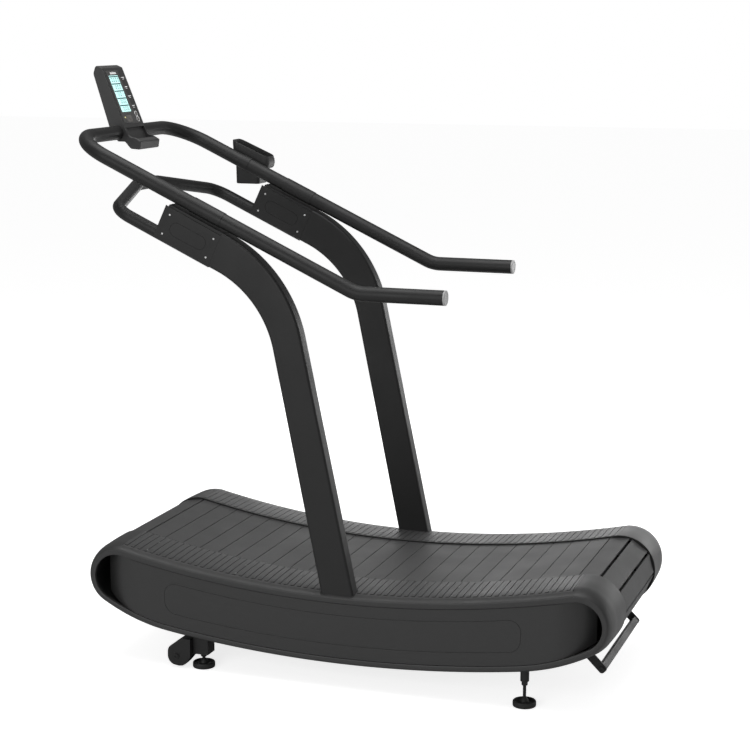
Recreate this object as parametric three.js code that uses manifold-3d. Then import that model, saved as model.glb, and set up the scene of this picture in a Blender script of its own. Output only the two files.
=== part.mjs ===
// Curved manual treadmill, built as an assembly of separate named pieces.
// Millimetres, +Z up. The user stands on the belt facing -X; -Y is the user's left side.
// The deck is drawn about its own centre on the floor; the last lines move the whole group so that
// the origin is the centre of the footprint box of everything, on the floor.
import * as THREE from "three";
import { mergeVertices } from "three/addons/utils/BufferGeometryUtils.js";
import Module from "manifold-3d";

const wasm = await Module();
wasm.setup();

// ---------- driving dimensions ----------
const GAP = 0.4; // clearance between pieces that rest against each other
const SIDES = [
  { name: "left", sign: -1 },
  { name: "right", sign: 1 },
];

// Deck outline in the XZ plane: a concave top arc, two round noses, two flatter blends, an under arc.
const DECK = { topLow: 300, underLow: 66, noseX: 726, noseZ: 275, noseR: 105.5 };
const BLEND_R = 600;
const UNDER_R = 3870;
const BELT_WIDTH = 432;
const COVER_INNER = 219; // inner face of each side cover, from the middle of the deck
const COVER_OUTER = 394; // outer face of each side cover
// The cover's skin drops away from the deck outline towards its outer edge: [distance out, drop].
const CROWN = [[COVER_INNER, 0], [330, 2.5], [372, 6.5], [386, 11], [392, 16], [COVER_OUTER, 20]];
const COVER_WALL = 9;
const FLANGE = 11; // depth of the wide rim round the side panel
const RIM = { topLow: 266, underLow: 97, noseX: 726, noseZ: 272, noseR: 73 };
const PANEL_SHEET = 2.4;
const PANEL_SINK = 2.6; // the panel's flat lies this far inside the rim's face
const PANEL_FLAT_X = 655; // the panel is flat to here, then scoops inwards
const PANEL_SCOOP_R = 165;

// Foot rails
const RAIL_FRONT_X = -712;
const RAIL_REAR_X = 708;
const RAIL_THICK = 5;
const RAIL_OUTER = 374;
const RAIL_INNER = 222;

// Slat belt and what it runs on
const SLAT_PITCH = 63.5;
const SLAT_GAP = 1.4;
const SLAT_THICK = 12;
const SLAT_JOINT_X = 27.7; // where one joint between slats lies on the top run
const DRIVE_BELT = 6; // the flexible band that joins the slats, under them
const BELT = { topLow: 297, underLow: 97, noseX: 726, noseZ: 275, noseR: 102.5 };
const DRUM_R = BELT.noseR - SLAT_THICK - DRIVE_BELT - 1.6;
const DRUM_HALF = 205;
const DRUM_WALL = 5;
const BEARING_R = 26;
const BEARING_WIDE = 14;
const AXLE_R = 10;
const AXLE_HALF = 241;
const ROLLER_R = 14;
const ROLLER_STEP = 2 * SLAT_PITCH;
const ROLLER_COUNT = 9;

// Frame
const FRAME_INNER = 226;
const FRAME_OUTER = 234;
const END_BEAM = { x: 360, z: 205, wide: 60, tall: 50 };
const MID_BEAM = { x: 24, z: 195, wide: 70, tall: 60 };
const BEAM_WALL = 4;

// Uprights, bars and brackets: everything at the top follows one slope
const SLOPE = THREE.MathUtils.degToRad(25.2);
const BAR_Y = 364; // middle plane of each upright and of the bars' side runs
const UPRIGHT_WIDE = 48;
const UPRIGHT_WALL = 3.5;
const UPRIGHT_FOOT_Z = 150;
const BAR_D = 44;
const BAR_Q = 1100.4; // height of the handlebar's sloping run, measured square to the slope
const GRIP_Z = 1191;
const GRIP_END_X = 318;
const BAR_FRONT_X = -852;
const LOOP_D = 38;
const LOOP_Q = 973;
const LOOP_SIDE_X = -710; // the lower loop's side run ends here
const LOOP_FRONT = { x: -785, y: 70, z: 1457 }; // corner of its front run, a little over the slope
const TUBE_WALL = 3;
const PLATE = { s0: -1092, s1: -897, q0: 957, q1: 1082, thick: 3 };
const UPRIGHT_Q0 = 961;
const UPRIGHT_Q1 = 1073;
// The upright's two straight edges, each given at height z, and the bend that takes it into the slope
const UPRIGHT_EDGES = {
  z: 905.6,
  front: { x: -178.3, lean: -0.203, bendR: 318 },
  rear: { x: -80.4, lean: -0.211, bendR: 424 },
};

// Feet and transport wheels
const FOOT_Y = 340;
const FRONT_FOOT_X = -459;
const REAR_FOOT_X = 563;
const PAD_R = 34.5;
const STUD_R = 5;
const POST_HALF = 25; // the square post over each front foot, and the arms that carry the feet
const POST_LOW = 46;
const BUSH = { r: 13, low: 76 }; // the round bush over each rear foot
const FRONT_ARM = { low: 132, high: 172 };
const REAR_ARM = { low: 150, high: 182 };
const WHEEL = { x: -531, y: 359, z: 40, r: 37, wide: 26, axleR: 6 };
const CHEEK = { inner: 21, outer: 26, top: 97 }; // the wheel bracket's cheeks, out from the wheel's middle

// Lift handle under the rear end
const HANDLE = { x: 768, z: 103, bar: 22, tabWide: 26, tabThick: 6, reach: 128, boltR: 5 };

// Belly pan
const PAN = { lift: 2, sheet: 3, half: 560 };

// Console
const FACE_LOW = [-817, 1620.5]; // lower end of the sloping face, X and Z
const FACE_TOP = [-897, 1817];
const CONSOLE_HALF = 68;
const CONSOLE_WALL = 6;
const KEY_TRAVEL = 1.2;

// Bottle holder, on the user's right: a shallow tray over a cup
const HOLDER = { gap: 5, wide: 76, wall: 3, cupFrontX: -650, cupRearX: -566, cupLow: 1428 };
const STRAP = { x: -600, half: 15, thick: 3.5 };

// ---------- materials ----------
const paint = (color, roughness, metalness) =>
  new THREE.MeshStandardMaterial({ color, roughness, metalness });
const powderCoat = paint(0x2b2b2c, 0.55, 0.3);
const moulded = paint(0x323233, 0.62, 0.0);
const treadRubber = paint(0x4a4a4b, 0.85, 0.0);
const slatRubber = paint(0x454546, 0.9, 0.0);
const padRubber = paint(0x161616, 0.8, 0.0);
const steel = paint(0x9a9ca0, 0.35, 0.9);
const capPlastic = paint(0x8e8f92, 0.5, 0.0);
const consolePlastic = paint(0x3a3a3c, 0.5, 0.0);
const facePlastic = paint(0x57565a, 0.4, 0.0);
const displayGlass = paint(0xc6f2ee, 0.15, 0.0);
const keyRubber = paint(0x6b666a, 0.7, 0.0);

// ---------- building helpers ----------
const part = new THREE.Group();

function toSolid(geometry) {
  const bare = geometry.clone();
  bare.deleteAttribute("normal");
  bare.deleteAttribute("uv");
  const merged = mergeVertices(bare, 1e-3);
  return new wasm.Manifold(
    new wasm.Mesh({
      numProp: 3,
      vertProperties: new Float32Array(merged.attributes.position.array),
      triVerts: new Uint32Array(merged.index.array),
    }),
  );
}

function toGeometry(solid) {
  const mesh = solid.getMesh();
  const geometry = new THREE.BufferGeometry();
  geometry.setAttribute("position", new THREE.BufferAttribute(mesh.vertProperties, 3));
  geometry.setIndex(new THREE.BufferAttribute(mesh.triVerts, 1));
  return geometry;
}

function add(name, shape, material, parent = part) {
  const geometry = shape.isBufferGeometry ? shape : toGeometry(shape);
  const mesh = new THREE.Mesh(geometry, material);
  mesh.name = name;
  parent.add(mesh);
  return mesh;
}

const flat = (x, y) => new THREE.Vector2(x, y);

// Points on an arc, both ends included.
function arc(centre, radius, from, to, steps) {
  const points = [];
  for (let i = 0; i <= steps; i++) {
    const a = from + ((to - from) * i) / steps;
    points.push(flat(centre.x + radius * Math.cos(a), centre.y + radius * Math.sin(a)));
  }
  return points;
}

// A polygon whose corners [x, y, radius] are rounded.
function rounded(corners, steps = 5) {
  const points = [];
  corners.forEach(([x, y, radius = 0], i) => {
    const corner = flat(x, y);
    const before = flat(...corners.at(i - 1).slice(0, 2)).sub(corner).normalize();
    const after = flat(...corners[(i + 1) % corners.length].slice(0, 2)).sub(corner).normalize();
    if (!radius) {
      points.push(corner);
      return;
    }
    const half = Math.acos(THREE.MathUtils.clamp(before.dot(after), -1, 1)) / 2;
    const bisector = before.clone().add(after).normalize();
    const centre = corner.clone().addScaledVector(bisector, radius / Math.sin(half));
    const start = corner.clone().addScaledVector(before, radius / Math.tan(half)).sub(centre);
    const end = corner.clone().addScaledVector(after, radius / Math.tan(half)).sub(centre);
    let turn = end.angle() - start.angle();
    if (turn > Math.PI) turn -= 2 * Math.PI;
    if (turn < -Math.PI) turn += 2 * Math.PI;
    points.push(...arc(centre, radius, start.angle(), start.angle() + turn, steps));
  });
  return points;
}

// An outline in XZ made solid between two values of Y.
function acrossY(outline, yLow, yHigh, bevel = null) {
  const options = { depth: yHigh - yLow, bevelEnabled: false };
  const geometry = new THREE.ExtrudeGeometry(new THREE.Shape(outline), { ...options, ...bevel });
  return geometry.rotateX(Math.PI / 2).translate(0, yHigh, 0);
}

const slab = (outline, yLow, yHigh) => toSolid(acrossY(outline, yLow, yHigh));

function box(x0, x1, y0, y1, z0, z1) {
  const geometry = new THREE.BoxGeometry(x1 - x0, y1 - y0, z1 - z0);
  return geometry.translate((x0 + x1) / 2, (y0 + y1) / 2, (z0 + z1) / 2);
}

const boxSolid = (...limits) => toSolid(box(...limits));

// A round bar along Y.
function barY(radius, x, z, yLow, yHigh, sides = 20) {
  const geometry = new THREE.CylinderGeometry(radius, radius, yHigh - yLow, sides);
  return geometry.translate(x, (yLow + yHigh) / 2, z);
}

// A round post along Z.
function postZ(radius, x, y, low, high, sides) {
  const geometry = new THREE.CylinderGeometry(radius, radius, high - low, sides);
  return toSolid(geometry.rotateX(Math.PI / 2).translate(x, y, (low + high) / 2));
}

// A profile of [radius, height] turned about Z; closed on itself.
function turned(profile, sides = 20) {
  const points = profile.map(([r, z]) => flat(r, z));
  if (profile[0][0] > 0) points.push(points[0].clone());
  return new THREE.LatheGeometry(points, sides).rotateX(Math.PI / 2);
}

// The y interval [near, far] from the middle plane, on the side with the given sign.
const span = (sign, near, far) => (sign > 0 ? [near, far] : [-far, -near]);

// ---------- pipes ----------
// A route through straight runs and bends, with one station wherever the pipe needs a section.
class PipeRoute extends THREE.Curve {
  constructor(corners, bendSteps) {
    super();
    this.places = [];
    this.directions = [];
    corners.forEach(([x, y, z, radius], i) => {
      const corner = new THREE.Vector3(x, y, z);
      const next = i + 1 < corners.length ? new THREE.Vector3(...corners[i + 1].slice(0, 3)) : null;
      const last = i > 0 ? new THREE.Vector3(...corners[i - 1].slice(0, 3)) : null;
      const out = next ? next.sub(corner).normalize() : null;
      const into = last ? corner.clone().sub(last).normalize() : out;
      if (!radius) {
        this.station(corner, out ?? into);
        return;
      }
      this.bend(corner, into, out, radius, bendSteps);
    });
  }
  station(place, direction) {
    this.places.push(place);
    this.directions.push(direction);
  }
  bend(corner, into, out, radius, steps) {
    const angle = into.angleTo(out);
    const axis = into.clone().cross(out).normalize();
    const start = corner.clone().addScaledVector(into, -radius * Math.tan(angle / 2));
    const inward = axis.clone().cross(into);
    const centre = start.clone().addScaledVector(inward, radius);
    for (let i = 0; i <= steps; i++) {
      const turn = (angle * i) / steps;
      const arm = inward.clone().multiplyScalar(-radius).applyAxisAngle(axis, turn);
      this.station(centre.clone().add(arm), into.clone().applyAxisAngle(axis, turn));
    }
  }
  index(u) {
    return Math.round(u * (this.places.length - 1));
  }
  getPointAt(u) {
    return this.places[this.index(u)].clone();
  }
  getTangentAt(u) {
    return this.directions[this.index(u)].clone();
  }
  getSpacedPoints() {
    return this.places.map((place) => place.clone());
  }
}

function pipe(corners, radius, sides, bendSteps = 5) {
  const route = new PipeRoute(corners, bendSteps);
  const section = new THREE.Shape(arc(flat(0, 0), radius, 0, 2 * Math.PI, sides).slice(0, -1));
  const steps = route.places.length - 1;
  return toSolid(new THREE.ExtrudeGeometry(section, { steps, extrudePath: route }));
}

// A pipe with its bore open at both ends. The bore runs a little past each end.
function hollowPipe(corners, radius, wall, sides, boreSides) {
  const past = corners.map((corner) => [...corner]);
  for (const [end, next] of [[0, 1], [corners.length - 1, corners.length - 2]]) {
    const tip = new THREE.Vector3(...corners[end].slice(0, 3));
    const away = tip.clone().sub(new THREE.Vector3(...corners[next].slice(0, 3))).normalize();
    past[end] = tip.addScaledVector(away, 2).toArray();
  }
  return pipe(corners, radius, sides).subtract(pipe(past, radius - wall, boreSides));
}

// ---------- the deck's outlines ----------
// Centre of the circle that touches two others, given the distances to their centres.
function centreAt(a, distanceA, b, distanceB) {
  const line = b.clone().sub(a);
  const gap = line.length();
  const along = (gap ** 2 + distanceA ** 2 - distanceB ** 2) / (2 * gap);
  const aside = Math.sqrt(distanceA ** 2 - along ** 2);
  line.normalize();
  return a.clone().addScaledVector(line, along).add(flat(line.y, -line.x).multiplyScalar(aside));
}

// The six arcs of a deck outline, and where each stops.
function deckArcs({ topLow, underLow, noseX, noseZ, noseR }) {
  const nose = flat(noseX, noseZ);
  const rise = topLow - noseZ;
  const topR = (noseX ** 2 + rise ** 2 - noseR ** 2) / (2 * (noseR - rise));
  const top = flat(0, topLow + topR);
  const under = flat(0, underLow + UNDER_R);
  const blend = centreAt(under, UNDER_R - BLEND_R, nose, BLEND_R - noseR);
  return { nose, top, topR, under, blend, noseR };
}

function angleFrom(centre, point) {
  return Math.atan2(point.y - centre.y, point.x - centre.x);
}

function deckOutline(size, inset = 0, steps = { top: 14, nose: 9, blend: 3, under: 8 }) {
  const { nose, top, topR, under, blend, noseR } = deckArcs(size);
  const noseTop = angleFrom(nose, top);
  const noseLow = angleFrom(blend, nose);
  const blendLow = angleFrom(under, blend);
  const right = [
    ...arc(under, UNDER_R - inset, -Math.PI / 2, blendLow, steps.under / 2).slice(0, -1),
    ...arc(blend, BLEND_R - inset, blendLow, noseLow, steps.blend).slice(0, -1),
    ...arc(nose, noseR - inset, noseLow, noseTop, steps.nose).slice(0, -1),
    ...arc(top, topR + inset, angleFrom(top, nose), -Math.PI / 2, steps.top / 2),
  ];
  const left = right.slice(1, -1).reverse().map((p) => flat(-p.x, p.y));
  return [...right, ...left];
}

// A band that follows the top arc between two X values, from one inset to a deeper one.
function topBand(size, x0, x1, inset, thick, steps) {
  const { top, topR } = deckArcs(size);
  const reach = (radius, x) => -Math.PI / 2 + Math.asin(x / radius);
  const upper = topR + inset;
  const lower = upper + thick;
  return [
    ...arc(top, lower, reach(lower, x0), reach(lower, x1), steps),
    ...arc(top, upper, reach(upper, x1), reach(upper, x0), steps),
  ];
}

// ---------- uprights, bars and brackets ----------
// Slope coordinates: s runs down the slope to the rear, q is square to it.
const fromSlope = (s, q) => [
  s * Math.cos(SLOPE) + q * Math.sin(SLOPE),
  -s * Math.sin(SLOPE) + q * Math.cos(SLOPE),
];
const slopeZ = (q, x) => (q - x * Math.sin(SLOPE)) / Math.cos(SLOPE);
const slopeX = (q, z) => (q - z * Math.cos(SLOPE)) / Math.sin(SLOPE);

// The upright's side view, in from its skin by inset: two straight edges that bend into the slope.
function uprightOutline(inset, footZ, endS) {
  const { front, rear, z: midZ } = UPRIGHT_EDGES;
  const atHeight = (edge, shift, z) => edge.x + shift + edge.lean * (z - midZ);
  const meetSlope = (edge, shift, q, radius) => {
    const atFloor = atHeight(edge, shift, 0);
    const z = (q - atFloor * Math.sin(SLOPE)) / (Math.cos(SLOPE) + edge.lean * Math.sin(SLOPE));
    return [atHeight(edge, shift, z), z, radius];
  };
  const corners = [
    [atHeight(front, inset, footZ), footZ],
    [atHeight(rear, -inset, footZ), footZ],
    meetSlope(rear, -inset, UPRIGHT_Q1 - inset, rear.bendR - inset),
    fromSlope(endS, UPRIGHT_Q1 - inset),
    fromSlope(endS, UPRIGHT_Q0 + inset),
    meetSlope(front, inset, UPRIGHT_Q0 + inset, front.bendR + inset),
  ];
  return rounded(corners, 8);
}

function buildUpright(name, sign) {
  const [y0, y1] = span(sign, BAR_Y - UPRIGHT_WIDE / 2, BAR_Y + UPRIGHT_WIDE / 2);
  const skin = slab(uprightOutline(0, UPRIGHT_FOOT_Z, PLATE.s1 + GAP), y0, y1);
  const bore = slab(
    uprightOutline(UPRIGHT_WALL, UPRIGHT_FOOT_Z - 5, PLATE.s1 + 4),
    y0 + UPRIGHT_WALL,
    y1 - UPRIGHT_WALL,
  );
  const tongueQ = LOOP_Q + LOOP_D / 2 + GAP;
  const tongue = [
    fromSlope(PLATE.s0 + 8, tongueQ),
    fromSlope(PLATE.s1 + 10, tongueQ),
    fromSlope(PLATE.s1 + 10, UPRIGHT_Q1),
    fromSlope(PLATE.s0 + 8, UPRIGHT_Q1),
  ].map(([x, z]) => flat(x, z));
  const inset = PLATE.thick + GAP;
  add(name, skin.subtract(bore).add(slab(tongue, y0 + inset, y1 - inset)), powderCoat);
}

function buildPlates(side, sign) {
  const outline = rounded([
    [...fromSlope(PLATE.s0, PLATE.q0), 6],
    [...fromSlope(PLATE.s1, PLATE.q0), 1],
    [...fromSlope(PLATE.s1, PLATE.q1), 6],
    [...fromSlope(PLATE.s0, PLATE.q1), 14],
  ]);
  const half = UPRIGHT_WIDE / 2;
  const faces = {
    outer: [BAR_Y + half - PLATE.thick, BAR_Y + half],
    inner: [BAR_Y - half, BAR_Y - half + PLATE.thick],
  };
  for (const [face, [near, far]] of Object.entries(faces)) {
    add(`${side}_${face}_bracket_plate`, acrossY(outline, ...span(sign, near, far)), powderCoat);
  }
}

function handlebarCorners() {
  const gripBendX = slopeX(BAR_Q, GRIP_Z);
  const frontZ = slopeZ(BAR_Q, BAR_FRONT_X);
  return [
    [GRIP_END_X, -BAR_Y, GRIP_Z],
    [gripBendX, -BAR_Y, GRIP_Z, 110],
    [BAR_FRONT_X, -BAR_Y, frontZ, 125],
    [BAR_FRONT_X, BAR_Y, frontZ, 125],
    [gripBendX, BAR_Y, GRIP_Z, 110],
    [GRIP_END_X, BAR_Y, GRIP_Z],
  ];
}

function loopCorners() {
  const [startX, startZ] = fromSlope(PLATE.s1 - 6, LOOP_Q);
  const side = [
    [startX, BAR_Y, startZ],
    [LOOP_SIDE_X, BAR_Y, slopeZ(LOOP_Q, LOOP_SIDE_X), 48],
    [LOOP_FRONT.x, LOOP_FRONT.y, LOOP_FRONT.z, 60],
  ];
  const mirror = ([x, y, z, radius]) => (radius ? [x, -y, z, radius] : [x, -y, z]);
  return [...side.map(mirror), ...side.reverse()];
}

function buildBars() {
  add("handlebar", hollowPipe(handlebarCorners(), BAR_D / 2, TUBE_WALL, 16, 6), powderCoat);
  add("front_loop_bar", hollowPipe(loopCorners(), LOOP_D / 2, TUBE_WALL, 12, 6), powderCoat);
  const skirt = 15; // clears the flats of the tube's bore
  const rim = BAR_D / 2;
  const profile = [[0, -14], [skirt, -14], [skirt, GAP], [rim, GAP], [rim, 4], [rim - 2, 6], [0, 6]];
  for (const { name, sign } of SIDES) {
    const cap = turned(profile, 16);
    const mesh = add(`${name}_grip_cap`, cap, capPlastic);
    mesh.rotation.y = Math.PI / 2;
    mesh.position.set(GRIP_END_X, sign * BAR_Y, GRIP_Z);
  }
}

// ---------- side covers, panels and foot rails ----------
// A closed solid through outlines that have equal numbers of points, each given with its Y.
function loft(sections) {
  const count = sections[0].outline.length;
  const positions = sections.flatMap(({ y, outline }) => outline.flatMap((p) => [p.x, y, p.y]));
  const index = [];
  for (let k = 0; k + 1 < sections.length; k++) {
    for (let i = 0; i < count; i++) {
      const [a, b] = [k * count + i, k * count + ((i + 1) % count)];
      index.push(a, a + count, b, b, a + count, b + count);
    }
  }
  const cap = THREE.ShapeUtils.triangulateShape(sections[0].outline, []);
  const last = (sections.length - 1) * count;
  for (const [a, b, c] of cap) index.push(a, b, c, last + a, last + c, last + b);
  const geometry = new THREE.BufferGeometry();
  geometry.setAttribute("position", new THREE.Float32BufferAttribute(positions, 3));
  return toSolid(geometry.setIndex(index));
}

// The cover's crowned form, in from its skin by inset and cut off square at the distance outer.
function crowned(sign, inset, outer = COVER_OUTER) {
  const drop = (distance) => {
    const k = CROWN.findIndex(([y]) => y >= distance);
    if (k < 1) return CROWN[0][1];
    const [[y0, d0], [y1, d1]] = [CROWN[k - 1], CROWN[k]];
    return d0 + ((d1 - d0) * (distance - y0)) / (y1 - y0);
  };
  const places = [...CROWN.map(([y]) => y).filter((y) => y < outer), outer];
  const sections = places.map((y) => ({ y: sign * y, outline: deckOutline(DECK, inset + drop(y)) }));
  return loft(sign > 0 ? sections : sections.reverse());
}

// The layer of the crown under its top skin, within the foot rail's limits.
function railLayer(sign, thick, grow) {
  const [y0, y1] = span(sign, RAIL_INNER - grow, RAIL_OUTER + grow);
  const limits = boxSolid(RAIL_FRONT_X - grow, RAIL_REAR_X + grow, y0, y1, 265, 420);
  return limits.subtract(crowned(sign, 0).translate([0, 0, -thick]));
}

function buildCover(side, sign) {
  const rim = slab(deckOutline(RIM), ...span(sign, COVER_INNER - 5, COVER_OUTER + 5));
  const inside = crowned(sign, COVER_WALL, COVER_OUTER - FLANGE);
  const inner = span(sign, COVER_INNER - 5, COVER_INNER + 5);
  const mouth = slab(deckOutline(DECK, COVER_WALL), ...inner);
  const bed = railLayer(sign, RAIL_THICK + GAP, GAP);
  const cuts = [rim, inside, mouth, bed, uprightHole(sign), ...footHoles(sign), tabSlot(sign)];
  let cover = crowned(sign, 0);
  for (const cut of cuts) cover = cover.subtract(cut);
  add(`${side}_side_cover`, cover, moulded);
}

function uprightHole(sign) {
  const half = UPRIGHT_WIDE / 2 + GAP;
  return slab(uprightOutline(-GAP, 240, PLATE.s1), ...span(sign, BAR_Y - half, BAR_Y + half));
}

function footHoles(sign) {
  const room = 1; // all round the post and the bush
  const half = POST_HALF + room;
  const [y0, y1] = span(sign, FOOT_Y - half, FOOT_Y + half);
  const floorLow = DECK.underLow - 6;
  const floorHigh = FRONT_ARM.low + 8;
  return [
    boxSolid(FRONT_FOOT_X - half, FRONT_FOOT_X + half, y0, y1, floorLow, floorHigh),
    postZ(BUSH.r + room, REAR_FOOT_X, sign * FOOT_Y, floorLow, REAR_ARM.low, 16),
  ];
}

function tabOutline(grow) {
  const wide = HANDLE.tabWide / 2 + grow;
  const slant = Math.SQRT1_2;
  const at = (along, across) => [
    HANDLE.x - along * slant + across * slant,
    HANDLE.z + along * slant + across * slant,
  ];
  const low = -wide;
  return rounded([
    [...at(low, -wide), 9],
    [...at(low, wide), 9],
    [...at(HANDLE.reach + grow, wide), 2],
    [...at(HANDLE.reach + grow, -wide), 2],
  ].reverse());
}

function tabSlot(sign) {
  const near = FRAME_OUTER + GAP;
  return slab(tabOutline(1), ...span(sign, near - 1, near + HANDLE.tabThick + 1));
}

// The panel's plan view: flat in the middle, scooped inwards at both ends.
function panelPlan() {
  const deep = COVER_OUTER - PANEL_SINK;
  const turn = THREE.MathUtils.degToRad(46);
  const skin = (sheet) => {
    const centre = flat(PANEL_FLAT_X, deep - PANEL_SCOOP_R);
    const end = arc(centre, PANEL_SCOOP_R - sheet, Math.PI / 2, Math.PI / 2 - turn, 6);
    return [...end.slice().reverse(), ...end.map((p) => flat(-p.x, p.y))];
  };
  return [...skin(0), ...skin(PANEL_SHEET).reverse()];
}

function buildPanel(side, sign) {
  const plan = panelPlan().map((p) => flat(p.x, sign * p.y));
  const sheet = new THREE.ExtrudeGeometry(new THREE.Shape(plan), { depth: 400, bevelEnabled: false });
  const outline = slab(deckOutline(RIM, GAP), ...span(sign, 300, COVER_OUTER));
  add(`${side}_side_panel`, toSolid(sheet).intersect(outline), moulded);
}

// The tread strip, let into the cover's top and level with it.
function buildFootRail(side, sign) {
  const strip = railLayer(sign, RAIL_THICK, 0).intersect(crowned(sign, 0));
  add(`${side}_foot_rail`, strip.subtract(uprightHole(sign)), treadRubber);
}

// ---------- running gear ----------
// The length of a closed outline, and the place on it at a given distance from its first point.
function measured(points) {
  const lengths = points.map((p, i) => p.distanceTo(points[(i + 1) % points.length]));
  const total = lengths.reduce((sum, length) => sum + length, 0);
  const place = (distance) => {
    let left = THREE.MathUtils.euclideanModulo(distance, total);
    let i = 0;
    while (left > lengths[i]) left -= lengths[i++];
    return { i, t: left / lengths[i] };
  };
  return { total, place };
}

const pointAt = (points, { i, t }) => points[i].clone().lerp(points[(i + 1) % points.length], t);

function buildSlatBelt() {
  const fine = { top: 60, nose: 36, blend: 12, under: 40 };
  const skin = deckOutline(BELT, 0, fine);
  const root = deckOutline(BELT, SLAT_THICK, fine);
  const { total, place } = measured(skin);
  const count = Math.round(total / SLAT_PITCH);
  const pitch = total / count;
  const phase = total / 2 - SLAT_JOINT_X; // the outline starts under the middle of the deck
  const outline = [];
  for (let i = 0; i < count; i++) {
    const start = place(phase + i * pitch + SLAT_GAP / 2);
    const end = place(phase + (i + 1) * pitch - SLAT_GAP / 2);
    outline.push(pointAt(root, start), pointAt(skin, start), pointAt(skin, end), pointAt(root, end));
  }
  const shape = new THREE.Shape(outline);
  shape.holes.push(new THREE.Path(deckOutline(BELT, SLAT_THICK + DRIVE_BELT).reverse()));
  const belt = new THREE.ExtrudeGeometry(shape, { depth: BELT_WIDTH, bevelEnabled: false });
  add("slat_belt", belt.rotateX(Math.PI / 2).translate(0, BELT_WIDTH / 2, 0), slatRubber);
}

function buildDrum(end, x) {
  const hub = BEARING_R + GAP;
  const web = DRUM_HALF - BEARING_WIDE;
  const bore = DRUM_R - DRUM_WALL;
  const section = [
    [hub, -DRUM_HALF], [DRUM_R, -DRUM_HALF], [DRUM_R, DRUM_HALF], [hub, DRUM_HALF],
    [hub, web], [bore, web], [bore, -web], [hub, -web],
  ];
  const place = (mesh) => {
    mesh.rotation.x = Math.PI / 2;
    mesh.position.set(x, 0, BELT.noseZ);
  };
  place(add(`${end}_drum`, turned(section, 24), steel));
  add(`${end}_drum_axle`, barY(AXLE_R, x, BELT.noseZ, -AXLE_HALF, AXLE_HALF), steel);
  for (const { name, sign } of SIDES) {
    const [y0, y1] = span(-sign, web, DRUM_HALF);
    const ring = [[AXLE_R + GAP, y0], [BEARING_R, y0], [BEARING_R, y1], [AXLE_R + GAP, y1]];
    place(add(`${end}_drum_bearing_${name}`, turned(ring, 16), steel));
  }
}

// A curved rail with a row of rollers that carry the belt's top run.
function buildRollerRail(side, sign) {
  const under = SLAT_THICK + DRIVE_BELT + 0.6;
  const half = (ROLLER_STEP * (ROLLER_COUNT - 1)) / 2;
  const ends = half + 20;
  let rail = slab(topBand(BELT, -ends, ends, under + 3, 34, 12), ...span(sign, 213, 225.5));
  const { top, topR } = deckArcs(BELT);
  for (let i = 0; i < ROLLER_COUNT; i++) {
    const x = -half + i * ROLLER_STEP;
    const radius = topR + under + ROLLER_R;
    const z = top.y - Math.sqrt(radius ** 2 - x ** 2);
    rail = rail.add(toSolid(barY(ROLLER_R, x, z, ...span(sign, 188, 216), 10)));
  }
  add(`${side}_roller_rail`, rail, steel);
}

// ---------- frame ----------
function sideFrame(sign) {
  const clearOfCover = 4;
  const web = deckOutline(DECK, COVER_WALL + clearOfCover);
  let frame = slab(web, ...span(sign, FRAME_INNER, FRAME_OUTER));
  const [past0, past1] = span(sign, FRAME_INNER - 10, FRAME_OUTER + 10);
  for (const x of [-BELT.noseX, BELT.noseX]) {
    frame = frame.subtract(toSolid(barY(AXLE_R + GAP, x, BELT.noseZ, past0, past1)));
  }
  const wide = MID_BEAM.wide / 2 + GAP;
  const tall = MID_BEAM.tall / 2 + GAP;
  const { x, z } = MID_BEAM;
  frame = frame.subtract(boxSolid(x - wide, x + wide, past0, past1, z - tall, z + tall));
  return frame.add(feetArms(sign)).subtract(studBores(sign));
}

// The arms out to the feet, with the square front post and the round rear bush.
function feetArms(sign) {
  const arm = (x, { low, high }) => {
    const [y0, y1] = span(sign, FRAME_OUTER - 4, FOOT_Y + POST_HALF);
    return boxSolid(x - POST_HALF, x + POST_HALF, y0, y1, low, high);
  };
  const [y0, y1] = span(sign, FOOT_Y - POST_HALF, FOOT_Y + POST_HALF);
  const [x0, x1] = [FRONT_FOOT_X - POST_HALF, FRONT_FOOT_X + POST_HALF];
  const post = boxSolid(x0, x1, y0, y1, POST_LOW, FRONT_ARM.low + 10);
  const bush = postZ(BUSH.r, REAR_FOOT_X, sign * FOOT_Y, BUSH.low, REAR_ARM.low + 10, 16);
  return arm(FRONT_FOOT_X, FRONT_ARM).add(post).add(arm(REAR_FOOT_X, REAR_ARM)).add(bush);
}

function studBores(sign) {
  const radius = STUD_R + 0.6;
  const long = 100;
  const front = postZ(radius, FRONT_FOOT_X, sign * FOOT_Y, POST_LOW - 5, POST_LOW + long, 12);
  return front.add(postZ(radius, REAR_FOOT_X, sign * FOOT_Y, BUSH.low - 5, BUSH.low + long, 12));
}

// A square tube along Y, open at both ends.
function beam(name, { x, z, wide, tall }, reach) {
  const section = (inset, end) => boxSolid(
    x - wide / 2 + inset, x + wide / 2 - inset, -end, end, z - tall / 2 + inset, z + tall / 2 - inset,
  );
  add(name, section(0, reach).subtract(section(BEAM_WALL, reach + 1)), powderCoat);
}

function buildBeams() {
  const reach = FRAME_INNER - GAP;
  beam("front_cross_beam", { ...END_BEAM, x: -END_BEAM.x }, reach);
  beam("rear_cross_beam", END_BEAM, reach);
  beam("upright_cross_beam", MID_BEAM, BAR_Y - UPRIGHT_WIDE / 2 - GAP);
}

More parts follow.
